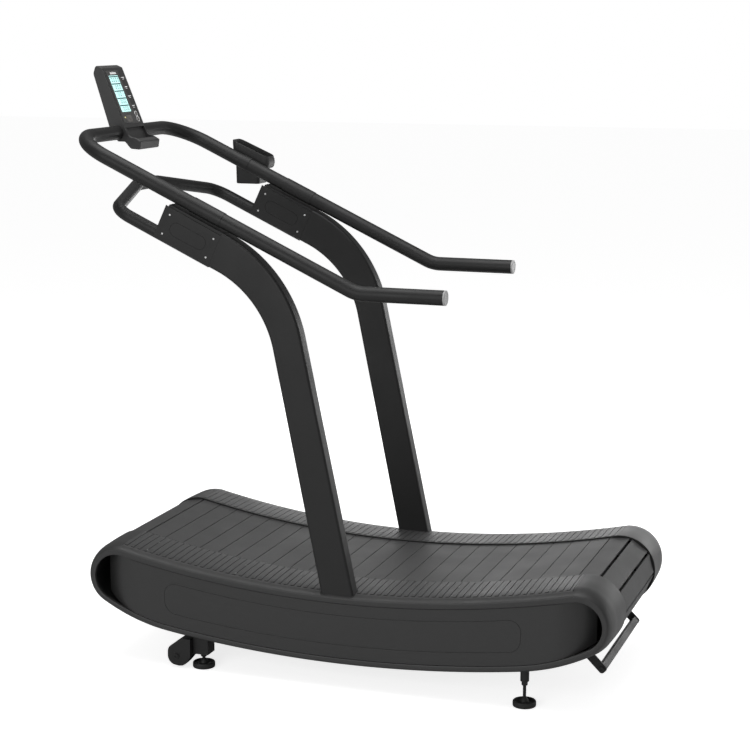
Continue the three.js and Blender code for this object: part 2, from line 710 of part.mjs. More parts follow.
// A sheet that follows the under arc.
function buildBellyPan() {
  const under = flat(0, DECK.underLow + UNDER_R);
  const low = UNDER_R - PAN.lift;
  const high = low - PAN.sheet;
  const reach = (radius, x) => -Math.PI / 2 + Math.asin(x / radius);
  const outline = [
    ...arc(under, low, reach(low, -PAN.half), reach(low, PAN.half), 10),
    ...arc(under, high, reach(high, PAN.half), reach(high, -PAN.half), 10),
  ];
  add("belly_pan", acrossY(outline, -COVER_INNER + GAP, COVER_INNER - GAP), moulded);
}

// ---------- feet, wheels, lift handle ----------
function buildFoot(name, x, sign, socketLow) {
  const nutHigh = 11;
  const nutLow = socketLow - nutHigh - 1;
  const studTop = socketLow + 38;
  const profile = [
    [0, 0], [PAD_R - 3, 0], [PAD_R, 3], [PAD_R, 14], [PAD_R - 5, 19],
    [12, 21], [STUD_R, 28], [STUD_R, studTop], [0, studTop],
  ];
  add(`${name}_levelling_foot`, turned(profile, 18), padRubber).position.set(x, sign * FOOT_Y, 0);
  const bore = (STUD_R + GAP) / Math.cos(Math.PI / 6); // six-sided, so its flats clear the stud
  const rim = 9.5;
  const nut = turned([[bore, nutLow], [rim, nutLow], [rim, nutLow + nutHigh], [bore, nutLow + nutHigh]], 6);
  add(`${name}_lock_nut`, nut, steel).position.set(x, sign * FOOT_Y, 0);
}

function buildWheel(side, sign) {
  const { x, y, z, r, wide, axleR } = WHEEL;
  const bore = axleR + GAP;
  const chamfer = 3;
  const half = wide / 2;
  const tread = [
    [bore, -half], [r - chamfer, -half], [r, -half + chamfer],
    [r, half - chamfer], [r - chamfer, half], [bore, half],
  ];
  const wheel = add(`${side}_transport_wheel`, turned(tread, 22), padRubber);
  wheel.rotation.x = Math.PI / 2;
  wheel.position.set(x, sign * y, z);
  const pin = toSolid(barY(axleR, x, z, ...span(sign, y - CHEEK.outer, y + CHEEK.outer + 1), 16));
  const headLow = y + CHEEK.outer + GAP;
  const head = toSolid(barY(9, x, z, ...span(sign, headLow, headLow + 4.6), 6));
  add(`${side}_wheel_axle`, pin.add(head), steel);
  buildWheelBracket(side, sign, bore);
}

// Two cheeks joined by a web that lies against the front foot's post.
function buildWheelBracket(side, sign, bore) {
  const { x, y, z } = WHEEL;
  const { inner, outer, top } = CHEEK;
  const nose = 30; // from the wheel's axis to the cheek's front and lower edges
  const rearX = FRONT_FOOT_X - POST_HALF - GAP;
  const cheek = rounded([
    [x - nose, z - nose, 29],
    [x + 22, z - nose, 12],
    [rearX, z, 4],
    [rearX, top, 0],
    [x + 14, top, 0],
    [x - nose, z + 24, 26],
  ]);
  const hole = toSolid(barY(bore, x, z, sign * y - 60, sign * y + 60, 16));
  let bracket = boxSolid(rearX - 5, rearX, sign * y - outer + 1, sign * y + outer - 1, z + 2, top);
  for (const [near, far] of [[y - outer, y - inner], [y + inner, y + outer]]) {
    bracket = bracket.add(slab(cheek, ...span(sign, near, far)));
  }
  add(`${side}_wheel_bracket`, bracket.subtract(hole), powderCoat);
}

function buildLiftHandle() {
  const { x, z, bar, tabThick, boltR } = HANDLE;
  const near = FRAME_OUTER + GAP;
  const grip = new THREE.BoxGeometry(bar, 2 * (near - GAP), bar).rotateY(Math.PI / 4);
  let handle = toSolid(grip.translate(x, 0, z));
  for (const { name, sign } of SIDES) {
    const hole = toSolid(barY(boltR + GAP, x, z, ...span(sign, near - 30, near + 40), 12));
    handle = handle.subtract(hole);
    const tab = slab(tabOutline(0), ...span(sign, near, near + tabThick)).subtract(hole);
    add(`${name}_handle_tab`, tab, powderCoat);
    const shank = toSolid(barY(boltR, x, z, ...span(sign, near - 25, near + tabThick + 1), 12));
    const headLow = near + tabThick + GAP;
    const head = toSolid(barY(8.5, x, z, ...span(sign, headLow, headLow + 5), 6));
    add(`${name}_handle_bolt`, shank.add(head), steel);
  }
  add("lift_handle_bar", handle, powderCoat);
}

// ---------- console and bottle holder ----------
// A group whose X runs to the user's right, Y up the sloping face and Z out of it.
const face = new THREE.Group();
{
  const right = new THREE.Vector3(0, 1, 0);
  const up = new THREE.Vector3(FACE_TOP[0] - FACE_LOW[0], 0, FACE_TOP[1] - FACE_LOW[1]).normalize();
  const out = right.clone().cross(up);
  face.quaternion.setFromRotationMatrix(new THREE.Matrix4().makeBasis(right, up, out));
  face.position.set(FACE_LOW[0], 0, FACE_LOW[1]);
  face.updateMatrix();
  part.add(face);
}
const FACE_LONG = Math.hypot(FACE_TOP[0] - FACE_LOW[0], FACE_TOP[1] - FACE_LOW[1]);
const BEZEL = { low: 24, thick: 2.5, half: 62 };
const DISPLAY = { x0: -48, x1: 12, y0: 66, y1: 186, sink: 1.4 };
const KEYS = [
  { name: "console_main_key", x: -20, y: 42, wide: 34, tall: 22 },
  { name: "console_upper_round_key", x: 38, y: 56, radius: 6.5 },
  { name: "console_lower_round_key", x: 38, y: 39, radius: 6.5 },
];
const KEY_DEEP = 5;

function faceShape({ x, y, wide, tall, radius }, grow) {
  if (radius) return arc(flat(x, y), radius + grow, 0, 2 * Math.PI, 14).slice(0, -1);
  const w = wide / 2 + grow;
  const h = tall / 2 + grow;
  return rounded([[x - w, y - h, 3], [x + w, y - h, 3], [x + w, y + h, 3], [x - w, y + h, 3]], 2);
}

function faceSlab(outline, low, high) {
  const shape = new THREE.Shape(outline);
  const options = { depth: high - low, bevelEnabled: false };
  return toSolid(new THREE.ExtrudeGeometry(shape, options).translate(0, 0, low));
}

const rectangle = (x0, x1, y0, y1) => [flat(x0, y0), flat(x1, y0), flat(x1, y1), flat(x0, y1)];

function buildConsole() {
  const barZ = slopeZ(BAR_Q, BAR_FRONT_X);
  const outline = rounded([
    [-774, 1566, 5],
    [-770, 1592, 5],
    [-788, 1602, 6],
    [FACE_LOW[0] + 6, FACE_LOW[1] - 14, 16],
    [...FACE_TOP, 5],
    [-922, 1827, 9],
    [-931, 1800, 18],
    [-874, 1618, 4],
    [-850, 1590, 4],
    [-826, 1590, 8],
    [-806, 1568, 14],
  ]);
  let housing = slab(outline, -CONSOLE_HALF, CONSOLE_HALF);
  const barHole = barY(BAR_D / 2 + GAP, BAR_FRONT_X, barZ, -100, 100, 24);
  housing = housing.subtract(toSolid(barHole));
  // Phone ledge: a pocket between the face and the lip.
  const pocket = [[-818, 1634], [-829, 1630], [-806, 1577], [-785, 1577], [-785, 1620]];
  const pocketOutline = pocket.map(([x, z]) => flat(x, z));
  const pocketHalf = CONSOLE_HALF - CONSOLE_WALL;
  housing = housing.subtract(slab(pocketOutline.reverse(), -pocketHalf, pocketHalf));
  const { low, thick, half } = BEZEL;
  const bed = rectangle(-half - GAP, half + GAP, low - GAP, FACE_LONG - 8 + GAP);
  const cuts = [faceSlab(bed, -thick, 20)];
  for (const key of KEYS) cuts.push(faceSlab(faceShape(key, GAP), -KEY_DEEP - KEY_TRAVEL - 1, 0));
  const matrix = face.matrix.elements;
  for (const cut of cuts) {
    const geometry = toGeometry(cut).applyMatrix4(new THREE.Matrix4().fromArray(matrix));
    housing = housing.subtract(toSolid(geometry));
  }
  add("console_housing", housing, consolePlastic);

  let bezel = faceSlab(rectangle(-half, half, low, FACE_LONG - 8), -thick + GAP, 0);
  const { x0, x1, y0, y1, sink } = DISPLAY;
  const window = rectangle(x0 - GAP, x1 + GAP, y0 - GAP, y1 + GAP);
  bezel = bezel.subtract(faceSlab(window, -sink, 5));
  for (const key of KEYS) bezel = bezel.subtract(faceSlab(faceShape(key, GAP), -10, 5));
  add("console_face", bezel, facePlastic, face);
  add("console_display", faceSlab(rectangle(x0, x1, y0, y1), -sink + GAP, -0.2), displayGlass, face);
  for (const key of KEYS) {
    add(key.name, faceSlab(faceShape(key, 0), -KEY_DEEP, KEY_TRAVEL + 0.6), keyRubber, face);
  }
}

function buildHolder() {
  const { gap, wide, wall, cupFrontX, cupRearX, cupLow } = HOLDER;
  const near = BAR_Y + BAR_D / 2 + gap;
  const far = near + wide;
  const tray = (inset, lift) => [
    [-664 + inset, 1574 + lift], [-664 + inset, 1540 + inset], [-652 + inset, 1496 + inset],
    [-540 - inset, 1478 + inset], [-533 - inset, 1492], [-537 - inset, 1518 + lift],
  ].map(([x, z]) => flat(x, z));
  const cup = (inset, high) =>
    boxSolid(cupFrontX + inset, cupRearX - inset, near + inset, far - inset, cupLow + inset, high);
  const holder = slab(tray(0, 0), near, far).add(cup(0, 1500));
  const inside = slab(tray(wall, 30), near + wall, far - wall).add(cup(wall, 1530));
  add("bottle_holder", holder.subtract(inside), moulded);
  const ring = BAR_D / 2 + GAP;
  const outside = ring + STRAP.thick;
  const band = [[ring, -STRAP.half], [outside, -STRAP.half], [outside, STRAP.half], [ring, STRAP.half]];
  const mesh = add("holder_strap", turned(band, 16), powderCoat);
  mesh.rotation.y = Math.PI / 2 + SLOPE;
  mesh.position.set(STRAP.x, BAR_Y, slopeZ(BAR_Q, STRAP.x));
}

// ---------- assembly ----------
for (const { name, sign } of SIDES) {
  buildCover(name, sign);
  buildPanel(name, sign);
  buildFootRail(name, sign);
  add(`${name}_side_frame`, sideFrame(sign), powderCoat);
  buildRollerRail(name, sign);
  buildUpright(`${name}_upright`, sign);
  buildPlates(name, sign);
  buildWheel(name, sign);
  buildFoot(`front_${name}`, FRONT_FOOT_X, sign, POST_LOW);
  buildFoot(`rear_${name}`, REAR_FOOT_X, sign, BUSH.low);
}
buildBars();
buildSlatBelt();
buildDrum("front", -BELT.noseX);
buildDrum("rear", BELT.noseX);
buildBeams();
buildBellyPan();
buildLiftHandle();
buildConsole();
buildHolder();

const bounds = new THREE.Box3().setFromObject(part, true);
const middle = bounds.getCenter(new THREE.Vector3());
part.position.set(-middle.x, -middle.y, -bounds.min.z);

export default part;
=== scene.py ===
"""Curved manual treadmill: the looks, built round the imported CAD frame.

Shapes are worked out in millimetres in the deck's own frame: x to the rear, y to the user's right,
z up, with the origin on the floor under the middle of the deck. piece() turns them into metres.
"""
import math

import bmesh
import bpy
import numpy as np
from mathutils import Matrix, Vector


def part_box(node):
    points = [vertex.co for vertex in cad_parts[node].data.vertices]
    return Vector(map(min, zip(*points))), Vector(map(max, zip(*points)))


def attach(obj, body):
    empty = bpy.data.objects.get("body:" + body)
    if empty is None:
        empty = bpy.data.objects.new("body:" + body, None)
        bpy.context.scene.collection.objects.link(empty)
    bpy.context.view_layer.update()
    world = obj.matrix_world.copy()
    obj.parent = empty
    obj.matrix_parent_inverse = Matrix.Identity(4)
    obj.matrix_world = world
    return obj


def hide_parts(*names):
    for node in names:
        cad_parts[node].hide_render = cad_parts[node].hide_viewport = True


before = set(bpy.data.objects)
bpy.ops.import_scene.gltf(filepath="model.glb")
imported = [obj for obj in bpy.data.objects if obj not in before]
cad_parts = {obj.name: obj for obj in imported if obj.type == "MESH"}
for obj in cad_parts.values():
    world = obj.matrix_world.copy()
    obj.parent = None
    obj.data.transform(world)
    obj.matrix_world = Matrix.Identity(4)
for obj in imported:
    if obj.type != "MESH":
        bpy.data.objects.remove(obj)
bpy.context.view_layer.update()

MM = 0.001
SIDES = (("left", -1), ("right", 1))
COVER_LOW, COVER_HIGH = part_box("left_side_cover")
DECK_X = (COVER_LOW.x + COVER_HIGH.x) / 2
DECK_Y = (COVER_LOW.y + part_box("right_side_cover")[1].y) / 2
ORIGIN = np.array([DECK_X, DECK_Y, 0.0])

# ---------- driving dimensions ----------
DECK = {"top_low": 300, "under_low": 66, "nose_x": 726, "nose_z": 275, "nose_r": 105.5}
BELT = {"top_low": 297, "under_low": 97, "nose_x": 726, "nose_z": 275, "nose_r": 102.5}
RIM = {"top_low": 266, "under_low": 97, "nose_x": 726, "nose_z": 272, "nose_r": 73}
BLEND_R = 600
UNDER_R = 3870
COVER_INNER = 219
COVER_OUTER = 394
COVER_WALL = 9
CROWN_START = 330
CROWN_GENTLE = 2.5
CROWN_DEEP = 17.5
FLANGE = 11
PANEL_Y = 391.4
PANEL_FLAT_X = 655
PANEL_SCOOP_R = 165
PANEL_TURN = math.radians(46)
PANEL_SHEET = 2.4
TRACK = {"top_inset": 36, "low_inset": 42, "end_x": 563, "radius": 44}
LOW_CORNER_EASE = 4
TOP_CORNER_EASE = 10

RAIL_X = (-712, 708)
RAIL_Y = (222, 374)
RAIL_SKIRT = 3.0
BED_SINK = 3.4
GROOVE_PITCH = 21.17
GROOVE_FIRST = -699
GROOVE_COUNT = 67
GROOVE_HALF = 0.85
GROOVE_DEEP = 2.4
HOOK_LONG = 10
HOOK_WIDE = 4.2
RAIL_SCREW_X = (-636, -342, 342, 636)
RAIL_SCREW_Y = (275, 355)
RAIL_SCREW_R = 3.6

SLAT_COUNT = 57
SLAT_BAND = 13
SLAT_WIDE = 59.4
SLAT_THICK = 12
SLAT_HALF = 216
SLAT_JOINT_X = 21.5

SLOPE = math.radians(25.2)
BAR_Y = 364
BAR_R = 22
BAR_Q = 1100.4
BAR_FRONT_X = -852
GRIP_Z = 1191
GRIP_END_X = 318
LOOP_R = 19
LOOP_Q = 973
LOOP_SIDE_X = -710
LOOP_FRONT = (-785, 70, 1457)
LOOP_SIDE_BEND = 68
LOOP_FRONT_BEND = 60
GRIP_BEND = 110
BAR_FRONT_BEND = 125
SLEEVE_X = (-460, -362)
PLATE_SCREWS = ((-521.9, 1400.9), (-548.3, 1345.0), (-382.7, 1335.3), (-409.0, 1279.7))
PLATE_RING = {"long": 61, "wide": 21, "s": 3, "q": -5}
PLATE = {"s0": -1092, "s1": -897, "q0": 957, "q1": 1082, "thick": 3}
UPRIGHT_HALF = 24
UPRIGHT_Q = (961, 1073)
UPRIGHT_FOOT_Z = 150
EDGE_Z = 905.6
EDGES = ((-178.3, -0.203, 318), (-80.4, -0.211, 424))

FOOT_Y = 340
FEET = {"front": (-459, 46), "rear": (563, 76)}
WHEEL = {"x": -531, "y": 359, "z": 40, "r": 37, "wide": 26}
HANDLE = {"x": 768, "z": 103, "bar": 22, "reach": 128, "wide": 26, "near": 234.4, "thick": 6}

FACE_LOW = np.array([-817, 1620.5])
FACE_TOP = np.array([-897, 1817])
CONSOLE_HALF = 68

HOLDER_Y = (391, 467)
CLAMP_X = -600


# ---------- outlines ----------
def circle(radius, sides):
    turn = np.linspace(0, 2 * math.pi, sides, endpoint=False)
    return np.stack([radius * np.cos(turn), radius * np.sin(turn)], 1)


def unit(vector):
    return vector / np.linalg.norm(vector)


def rounded(corners, radii, steps=8, closed=True):
    """A path through corners, each turned on its own radius. Works in the plane and in space."""
    corners = [np.array(c, float) for c in corners]
    radii = [radii] * len(corners) if np.isscalar(radii) else radii
    points = []
    for i, (corner, radius) in enumerate(zip(corners, radii)):
        is_end = not closed and i in (0, len(corners) - 1)
        if is_end or radius <= 0:
            points.append(corner)
            continue
        before = unit(corners[i - 1] - corner)
        after = unit(corners[(i + 1) % len(corners)] - corner)
        half = math.acos(float(np.clip(before @ after, -1, 1))) / 2
        centre = corner + unit(before + after) * radius / math.sin(half)
        start = corner + before * radius / math.tan(half) - centre
        end = corner + after * radius / math.tan(half) - centre
        turn = math.pi - 2 * half
        for k in range(steps + 1):
            t = k / steps
            arm = (math.sin((1 - t) * turn) * start + math.sin(t * turn) * end) / math.sin(turn)
            points.append(centre + arm)
    return np.array(points)


def box_outline(x0, x1, y0, y1, radius, steps=6):
    return rounded([(x0, y0), (x1, y0), (x1, y1), (x0, y1)], radius, steps)


def offset(outline, distance):
    """A closed outline moved in by distance, with mitred corners."""
    following = np.roll(outline, -1, 0)
    area = np.sum(outline[:, 0] * following[:, 1] - following[:, 0] * outline[:, 1])
    along = following - outline
    along /= np.maximum(np.linalg.norm(along, axis=1, keepdims=True), 1e-9)
    normal = np.stack([-along[:, 1], along[:, 0]], 1) * np.sign(area)
    last = np.roll(normal, 1, 0)
    miter = (normal + last) / (1 + np.sum(normal * last, 1, keepdims=True)).clip(0.4)
    return outline + miter * distance


def resample(path, count, closed=False):
    """count points evenly spaced along a path."""
    path = np.vstack([path, path[:1]]) if closed else path
    lengths = np.concatenate([[0], np.cumsum(np.linalg.norm(np.diff(path, axis=0), axis=1))])
    places = np.linspace(0, lengths[-1], count, endpoint=not closed)
    return np.stack([np.interp(places, lengths, path[:, k]) for k in range(path.shape[1])], 1)


def from_slope(s, q):
    """Slope coordinates to x and z: s runs down the slope to the rear, q is square to it."""
    return np.array([
        s * math.cos(SLOPE) + q * math.sin(SLOPE),
        -s * math.sin(SLOPE) + q * math.cos(SLOPE),
    ])


def slope_z(q, x):
    return (q - x * math.sin(SLOPE)) / math.cos(SLOPE)


def slope_x(q, z):
    return (q - z * math.cos(SLOPE)) / math.sin(SLOPE)


class DeckOutline:
    """Points round the deck: a concave top arc, two noses, two blends and an under arc."""

    def __init__(self, top_low, under_low, nose_x, nose_z, nose_r, seams=(), fine=1.0):
        nose = np.array([nose_x, nose_z])
        rise = top_low - nose_z
        top_r = (nose_x**2 + rise**2 - nose_r**2) / (2 * (nose_r - rise))
        top = np.array([0, top_low + top_r])
        under = np.array([0, under_low + UNDER_R])
        blend = self.meet(under, UNDER_R - BLEND_R, nose, BLEND_R - nose_r)
        nose_top = self.angle(nose, top)
        nose_low = self.angle(blend, nose)
        blend_low = self.angle(under, blend)
        top_end = self.angle(top, nose)
        steps = [max(3, round(n * fine)) for n in (24, 10, 36, 44)]
        top_turns = np.linspace(top_end, -math.pi / 2, steps[3] + 1)
        seam_turns = [-math.pi / 2 + math.asin(x / top_r) for x in seams]
        top_turns = np.array(sorted([*top_turns, *seam_turns], reverse=True))
        arcs = [
            (under, UNDER_R, np.linspace(-math.pi / 2, blend_low, steps[0] + 1)[:-1], -1),
            (blend, BLEND_R, np.linspace(blend_low, nose_low, steps[1] + 1)[:-1], -1),
            (nose, nose_r, np.linspace(nose_low, nose_top, steps[2] + 1)[:-1], -1),
            (top, top_r, top_turns, 1),
        ]
        rows = [(*c, math.cos(a), math.sin(a), r, g) for c, r, turns, g in arcs for a in turns]
        right = np.array(rows)
        left = right[1:-1][::-1] * np.array([-1, 1, -1, 1, 1, 1])
        table = np.vstack([right, left])
        self.centre, self.direction = table[:, 0:2], table[:, 2:4]
        self.radius, self.grow = table[:, 4], table[:, 5]
        self.is_top = self.grow > 0
        self.top, self.top_r = top, top_r

    @staticmethod
    def angle(centre, point):
        return math.atan2(point[1] - centre[1], point[0] - centre[0])

    @staticmethod
    def meet(a, distance_a, b, distance_b):
        line = b - a
        gap = np.linalg.norm(line)
        along = (gap**2 + distance_a**2 - distance_b**2) / (2 * gap)
        aside = math.sqrt(distance_a**2 - along**2)
        line = line / gap
        return a + line * along + np.array([line[1], -line[0]]) * aside

    def at(self, inset=0.0):
        reach = self.radius + self.grow * inset
        return self.centre + self.direction * reach[:, None]

    def top_z(self, x, inset):
        return self.top[1] - np.sqrt((self.top_r + inset) ** 2 - x**2)


def crown(distance):
    """How far the cover's skin has dropped at this distance from the middle of the deck."""
    if distance <= CROWN_START:
        return CROWN_GENTLE * ((distance - COVER_INNER) / (CROWN_START - COVER_INNER)) ** 2
    t = min(1.0, (distance - CROWN_START) / (COVER_OUTER - CROWN_START))
    return CROWN_GENTLE + CROWN_DEEP * (1 - math.sqrt(1 - t * t))


# ---------- meshes ----------
class Shape:
    """Points in millimetres and faces, gathered from several solids."""

    def __init__(self):
        self.points = []
        self.faces = []

    def add(self, points, faces):
        base = len(self.points)
        self.points.extend(np.asarray(points, float).reshape(-1, 3).tolist())
        self.faces.extend(tuple(base + i for i in f) for f in faces)
        return self

    def loft(self, rings, caps=(True, True), wrap=False):
        """Skins closed rings that have equal numbers of points."""
        rings = np.asarray(rings, float)
        count, size = rings.shape[:2]
        faces = []
        for k in range(count if wrap else count - 1):
            a, b = k * size, ((k + 1) % count) * size
            faces += [(a + i, a + (i + 1) % size, b + (i + 1) % size, b + i) for i in range(size)]
        if caps[0] and not wrap:
            faces.append(tuple(range(size - 1, -1, -1)))
        if caps[1] and not wrap:
            faces.append(tuple((count - 1) * size + i for i in range(size)))
        return self.add(rings, faces)

    def slab(self, outline, low, high, place, bevel=0.8, steps=2):
        """An outline made solid between two levels, with its edges rounded."""
        rings = []
        turns = [math.pi / 2 * k / steps for k in range(steps + 1)]
        for level, way in ((low, 1), (high, -1)):
            ends = []
            for turn in turns:
                inset = bevel * (1 - math.sin(turn))
                height = level + way * bevel * (1 - math.cos(turn))
                ends.append(place(offset(outline, inset), height))
            rings += ends if way > 0 else ends[::-1]
        return self.loft(rings)

    def turned(self, profile, origin, axis, sides=48):
        """A profile of [radius, height] turned about an axis through origin."""
        w = unit(np.array(axis, float))
        hint = np.array([0, 0, 1.0]) if abs(w[2]) < 0.9 else np.array([1.0, 0, 0])
        u = unit(np.cross(hint, w))
        v = np.cross(w, u)
        turn = np.linspace(0, 2 * math.pi, sides, endpoint=False)
        ring = np.outer(np.cos(turn), u) + np.outer(np.sin(turn), v)
        rings = [np.array(origin) + ring * r + w * h for r, h in profile]
        return self.loft(rings)

    def sweep(self, path, radius, sides=40, caps=(True, True)):
        """A round bar along a path, with no twist."""
        path = np.asarray(path, float)
        runs = np.diff(path, axis=0)
        runs /= np.linalg.norm(runs, axis=1, keepdims=True)
        tangents = np.vstack([runs[:1], runs[:-1] + runs[1:], runs[-1:]])
        section = circle(radius, sides)
        side = np.cross(tangents[0], [0, 0, 1.0])
        rings = []
        for place, tangent in zip(path, tangents):
            tangent = unit(tangent)
            side = unit(side - tangent * (side @ tangent))
            up = np.cross(side, tangent)
            rings.append(place + section[:, :1] * side + section[:, 1:] * up)
        return self.loft(rings, caps)


def across(outline, y):
    """An outline in x and z, placed at y."""
    return np.stack([outline[:, 0], np.full(len(outline), float(y)), outline[:, 1]], 1)


FACE_UP = unit(FACE_TOP - FACE_LOW)
FACE_OUT = np.array([FACE_UP[1], -FACE_UP[0]])
FACE_LONG = float(np.linalg.norm(FACE_TOP - FACE_LOW))


def on_face(outline, height):
    """An outline on the console's face: across it and up it, at a height out of it."""
    place = FACE_LOW + outline[:, 1:] * FACE_UP + height * FACE_OUT
    return np.stack([place[:, 0], outline[:, 0], place[:, 1]], 1)


def piece(name, shape, material, replaces=(), body="frame", sharp=32):
    mesh = bpy.data.meshes.new(name)
    points = np.array(shape.points) * MM + ORIGIN
    mesh.from_pydata(points.tolist(), [], shape.faces)
    mesh.materials.append(material)
    work = bmesh.new()
    work.from_mesh(mesh)
    bmesh.ops.recalc_face_normals(work, faces=work.faces)
    work.to_mesh(mesh)
    work.free()
    mesh.polygons.foreach_set("use_smooth", [True] * len(mesh.polygons))
    mesh.set_sharp_from_angle(angle=math.radians(sharp))
    made = bpy.data.objects.new(name, mesh)
    bpy.context.scene.collection.objects.link(made)
    even = made.modifiers.new("even_normals", "WEIGHTED_NORMAL")
    even.keep_sharp = True
    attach(made, body)
    if replaces:
        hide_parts(*replaces)
    return made


# ---------- materials ----------
def surface(name, colour, roughness, speck=0.12, grain=900, bump=0.15, metallic=0.0, specular=0.5,
            stretch=(1, 1, 1), coat=0.0, flecks=0.0, glow=0.0):
    """A moulded or coated surface: mottled colour, uneven gloss and a fine grain.

    speck is how much the colour varies, grain the texture's cells in a metre, flecks adds a
    second, pitted texture, and stretch draws the grain out into brushing.
    """
    made = bpy.data.materials.new(name)
    made.use_nodes = True
    nodes, links = made.node_tree.nodes, made.node_tree.links
    shader = nodes["Principled BSDF"]
    shader.inputs["Metallic"].default_value = metallic
    shader.inputs["Specular IOR Level"].default_value = specular
    shader.inputs["Coat Weight"].default_value = coat
    shader.inputs["Coat Roughness"].default_value = 0.12
    places = nodes.new("ShaderNodeTexCoord")
    mapping = nodes.new("ShaderNodeMapping")
    mapping.inputs["Scale"].default_value = stretch
    links.new(places.outputs["Object"], mapping.inputs["Vector"])

    def noise(scale, detail):
        node = nodes.new("ShaderNodeTexNoise")
        node.inputs["Scale"].default_value = scale
        node.inputs["Detail"].default_value = detail
        links.new(mapping.outputs["Vector"], node.inputs["Vector"])
        return node.outputs["Fac"]

    def ranged(value, low, high, start=0.3, end=0.7):
        node = nodes.new("ShaderNodeMapRange")
        node.inputs["From Min"].default_value = start
        node.inputs["From Max"].default_value = end
        node.inputs["To Min"].default_value = low
        node.inputs["To Max"].default_value = high
        links.new(value, node.inputs["Value"])
        return node.outputs["Result"]

    def maths(operation, a, b):
        node = nodes.new("ShaderNodeMath")
        node.operation = operation
        links.new(a, node.inputs[0])
        links.new(b, node.inputs[1])
        return node.outputs["Value"]

    broad = noise(9, 4)
    fine = noise(grain, 3)
    blend = maths("MULTIPLY", ranged(broad, 0.75, 1.0), ranged(fine, 0.6, 1.0))
    height = fine
    if flecks:
        pits = nodes.new("ShaderNodeTexVoronoi")
        pits.inputs["Scale"].default_value = grain * 0.55
        links.new(mapping.outputs["Vector"], pits.inputs["Vector"])
        bright = ranged(pits.outputs["Distance"], 1.0, 1.0 - flecks, 0.15, 0.6)
        blend = maths("MULTIPLY", blend, bright)
        height = maths("SUBTRACT", fine, pits.outputs["Distance"])
    mix = nodes.new("ShaderNodeMix")
    mix.data_type = "RGBA"
    mix.inputs["A"].default_value = (*[c * (1 - speck) for c in colour], 1)
    mix.inputs["B"].default_value = (*[min(1, c * (1 + speck)) for c in colour], 1)
    links.new(blend, mix.inputs["Factor"])
    links.new(mix.outputs["Result"], shader.inputs["Base Color"])
    links.new(ranged(broad, roughness - 0.05, roughness + 0.05), shader.inputs["Roughness"])
    relief = nodes.new("ShaderNodeBump")
    relief.inputs["Strength"].default_value = bump
    relief.inputs["Distance"].default_value = 0.0002
    links.new(height, relief.inputs["Height"])
    links.new(relief.outputs["Normal"], shader.inputs["Normal"])
    if glow:
        links.new(mix.outputs["Result"], shader.inputs["Emission Color"])
        shader.inputs["Emission Strength"].default_value = glow
    return made


def grey(value, warm=0.0):
    return (value * (1 + warm), value, value * (1 - warm))


COAT = surface("powder_coat", grey(0.010), 0.5, speck=0.2, grain=900, bump=0.07, specular=0.35)
PLASTIC = surface("cover_plastic", grey(0.026), 0.5, speck=0.15, grain=1100, bump=0.12)
PANEL = surface("panel_plastic", grey(0.022), 0.46, speck=0.12, grain=2100, bump=0.14)
MOULDED = surface("holder_plastic", grey(0.022), 0.55, speck=0.15, grain=1100, bump=0.05, specular=0.4)
TREAD = surface("rail_plastic", grey(0.048), 0.52, speck=0.25, grain=900, bump=0.3, flecks=0.3)
SLAT = surface("slat_rubber", grey(0.046), 0.62, speck=0.3, grain=760, bump=0.5, flecks=0.5)
# Black rubber of the belt bands. It is also the colour of the painted shade strip on each cover's inner
# wall.
BAND_AND_SHADE = surface("band_rubber_and_shade", grey(0.008), 0.75, speck=0.2, grain=600, bump=0.3)
RUBBER = surface("pad_rubber", grey(0.010), 0.62, speck=0.3, grain=900, bump=0.35)
STEEL = surface("bright_steel", grey(0.55), 0.32, speck=0.15, grain=500, bump=0.08,
                metallic=1.0, stretch=(1, 12, 1))
SCREW = surface("screw_steel", grey(0.85), 0.45, speck=0.12, grain=1500, bump=0.08, metallic=0.45)
DARK_SCREW = surface("rail_screw_steel", grey(0.22), 0.4, speck=0.12, grain=1500, bump=0.08,
                     metallic=1.0)
CAP = surface("cap_plastic", grey(0.40), 0.55, speck=0.1, grain=1500, bump=0.06)
HOUSING = surface("console_plastic", grey(0.028), 0.45, speck=0.15, grain=1900, bump=0.15)
FACE = surface("face_plastic", grey(0.058, 0.02), 0.38, speck=0.1, grain=2400, bump=0.08)
GLASS = surface("display_glass", (0.50, 0.83, 0.80), 0.2, speck=0.08, grain=800, bump=0.02,
                coat=0.5, glow=0.75)
INK = surface("display_ink", (0.05, 0.13, 0.14), 0.35, speck=0.1, grain=1200, bump=0.02)
LABEL = surface("label_print", grey(0.80), 0.5, speck=0.08, grain=1800, bump=0.05)
KEY = surface("key_rubber", grey(0.115, 0.06), 0.6, speck=0.12, grain=1800, bump=0.2)
LAMP = surface("lamp_lens", (0.75, 0.70, 0.32), 0.3, speck=0.1, grain=1500, bump=0.02, glow=0.3)


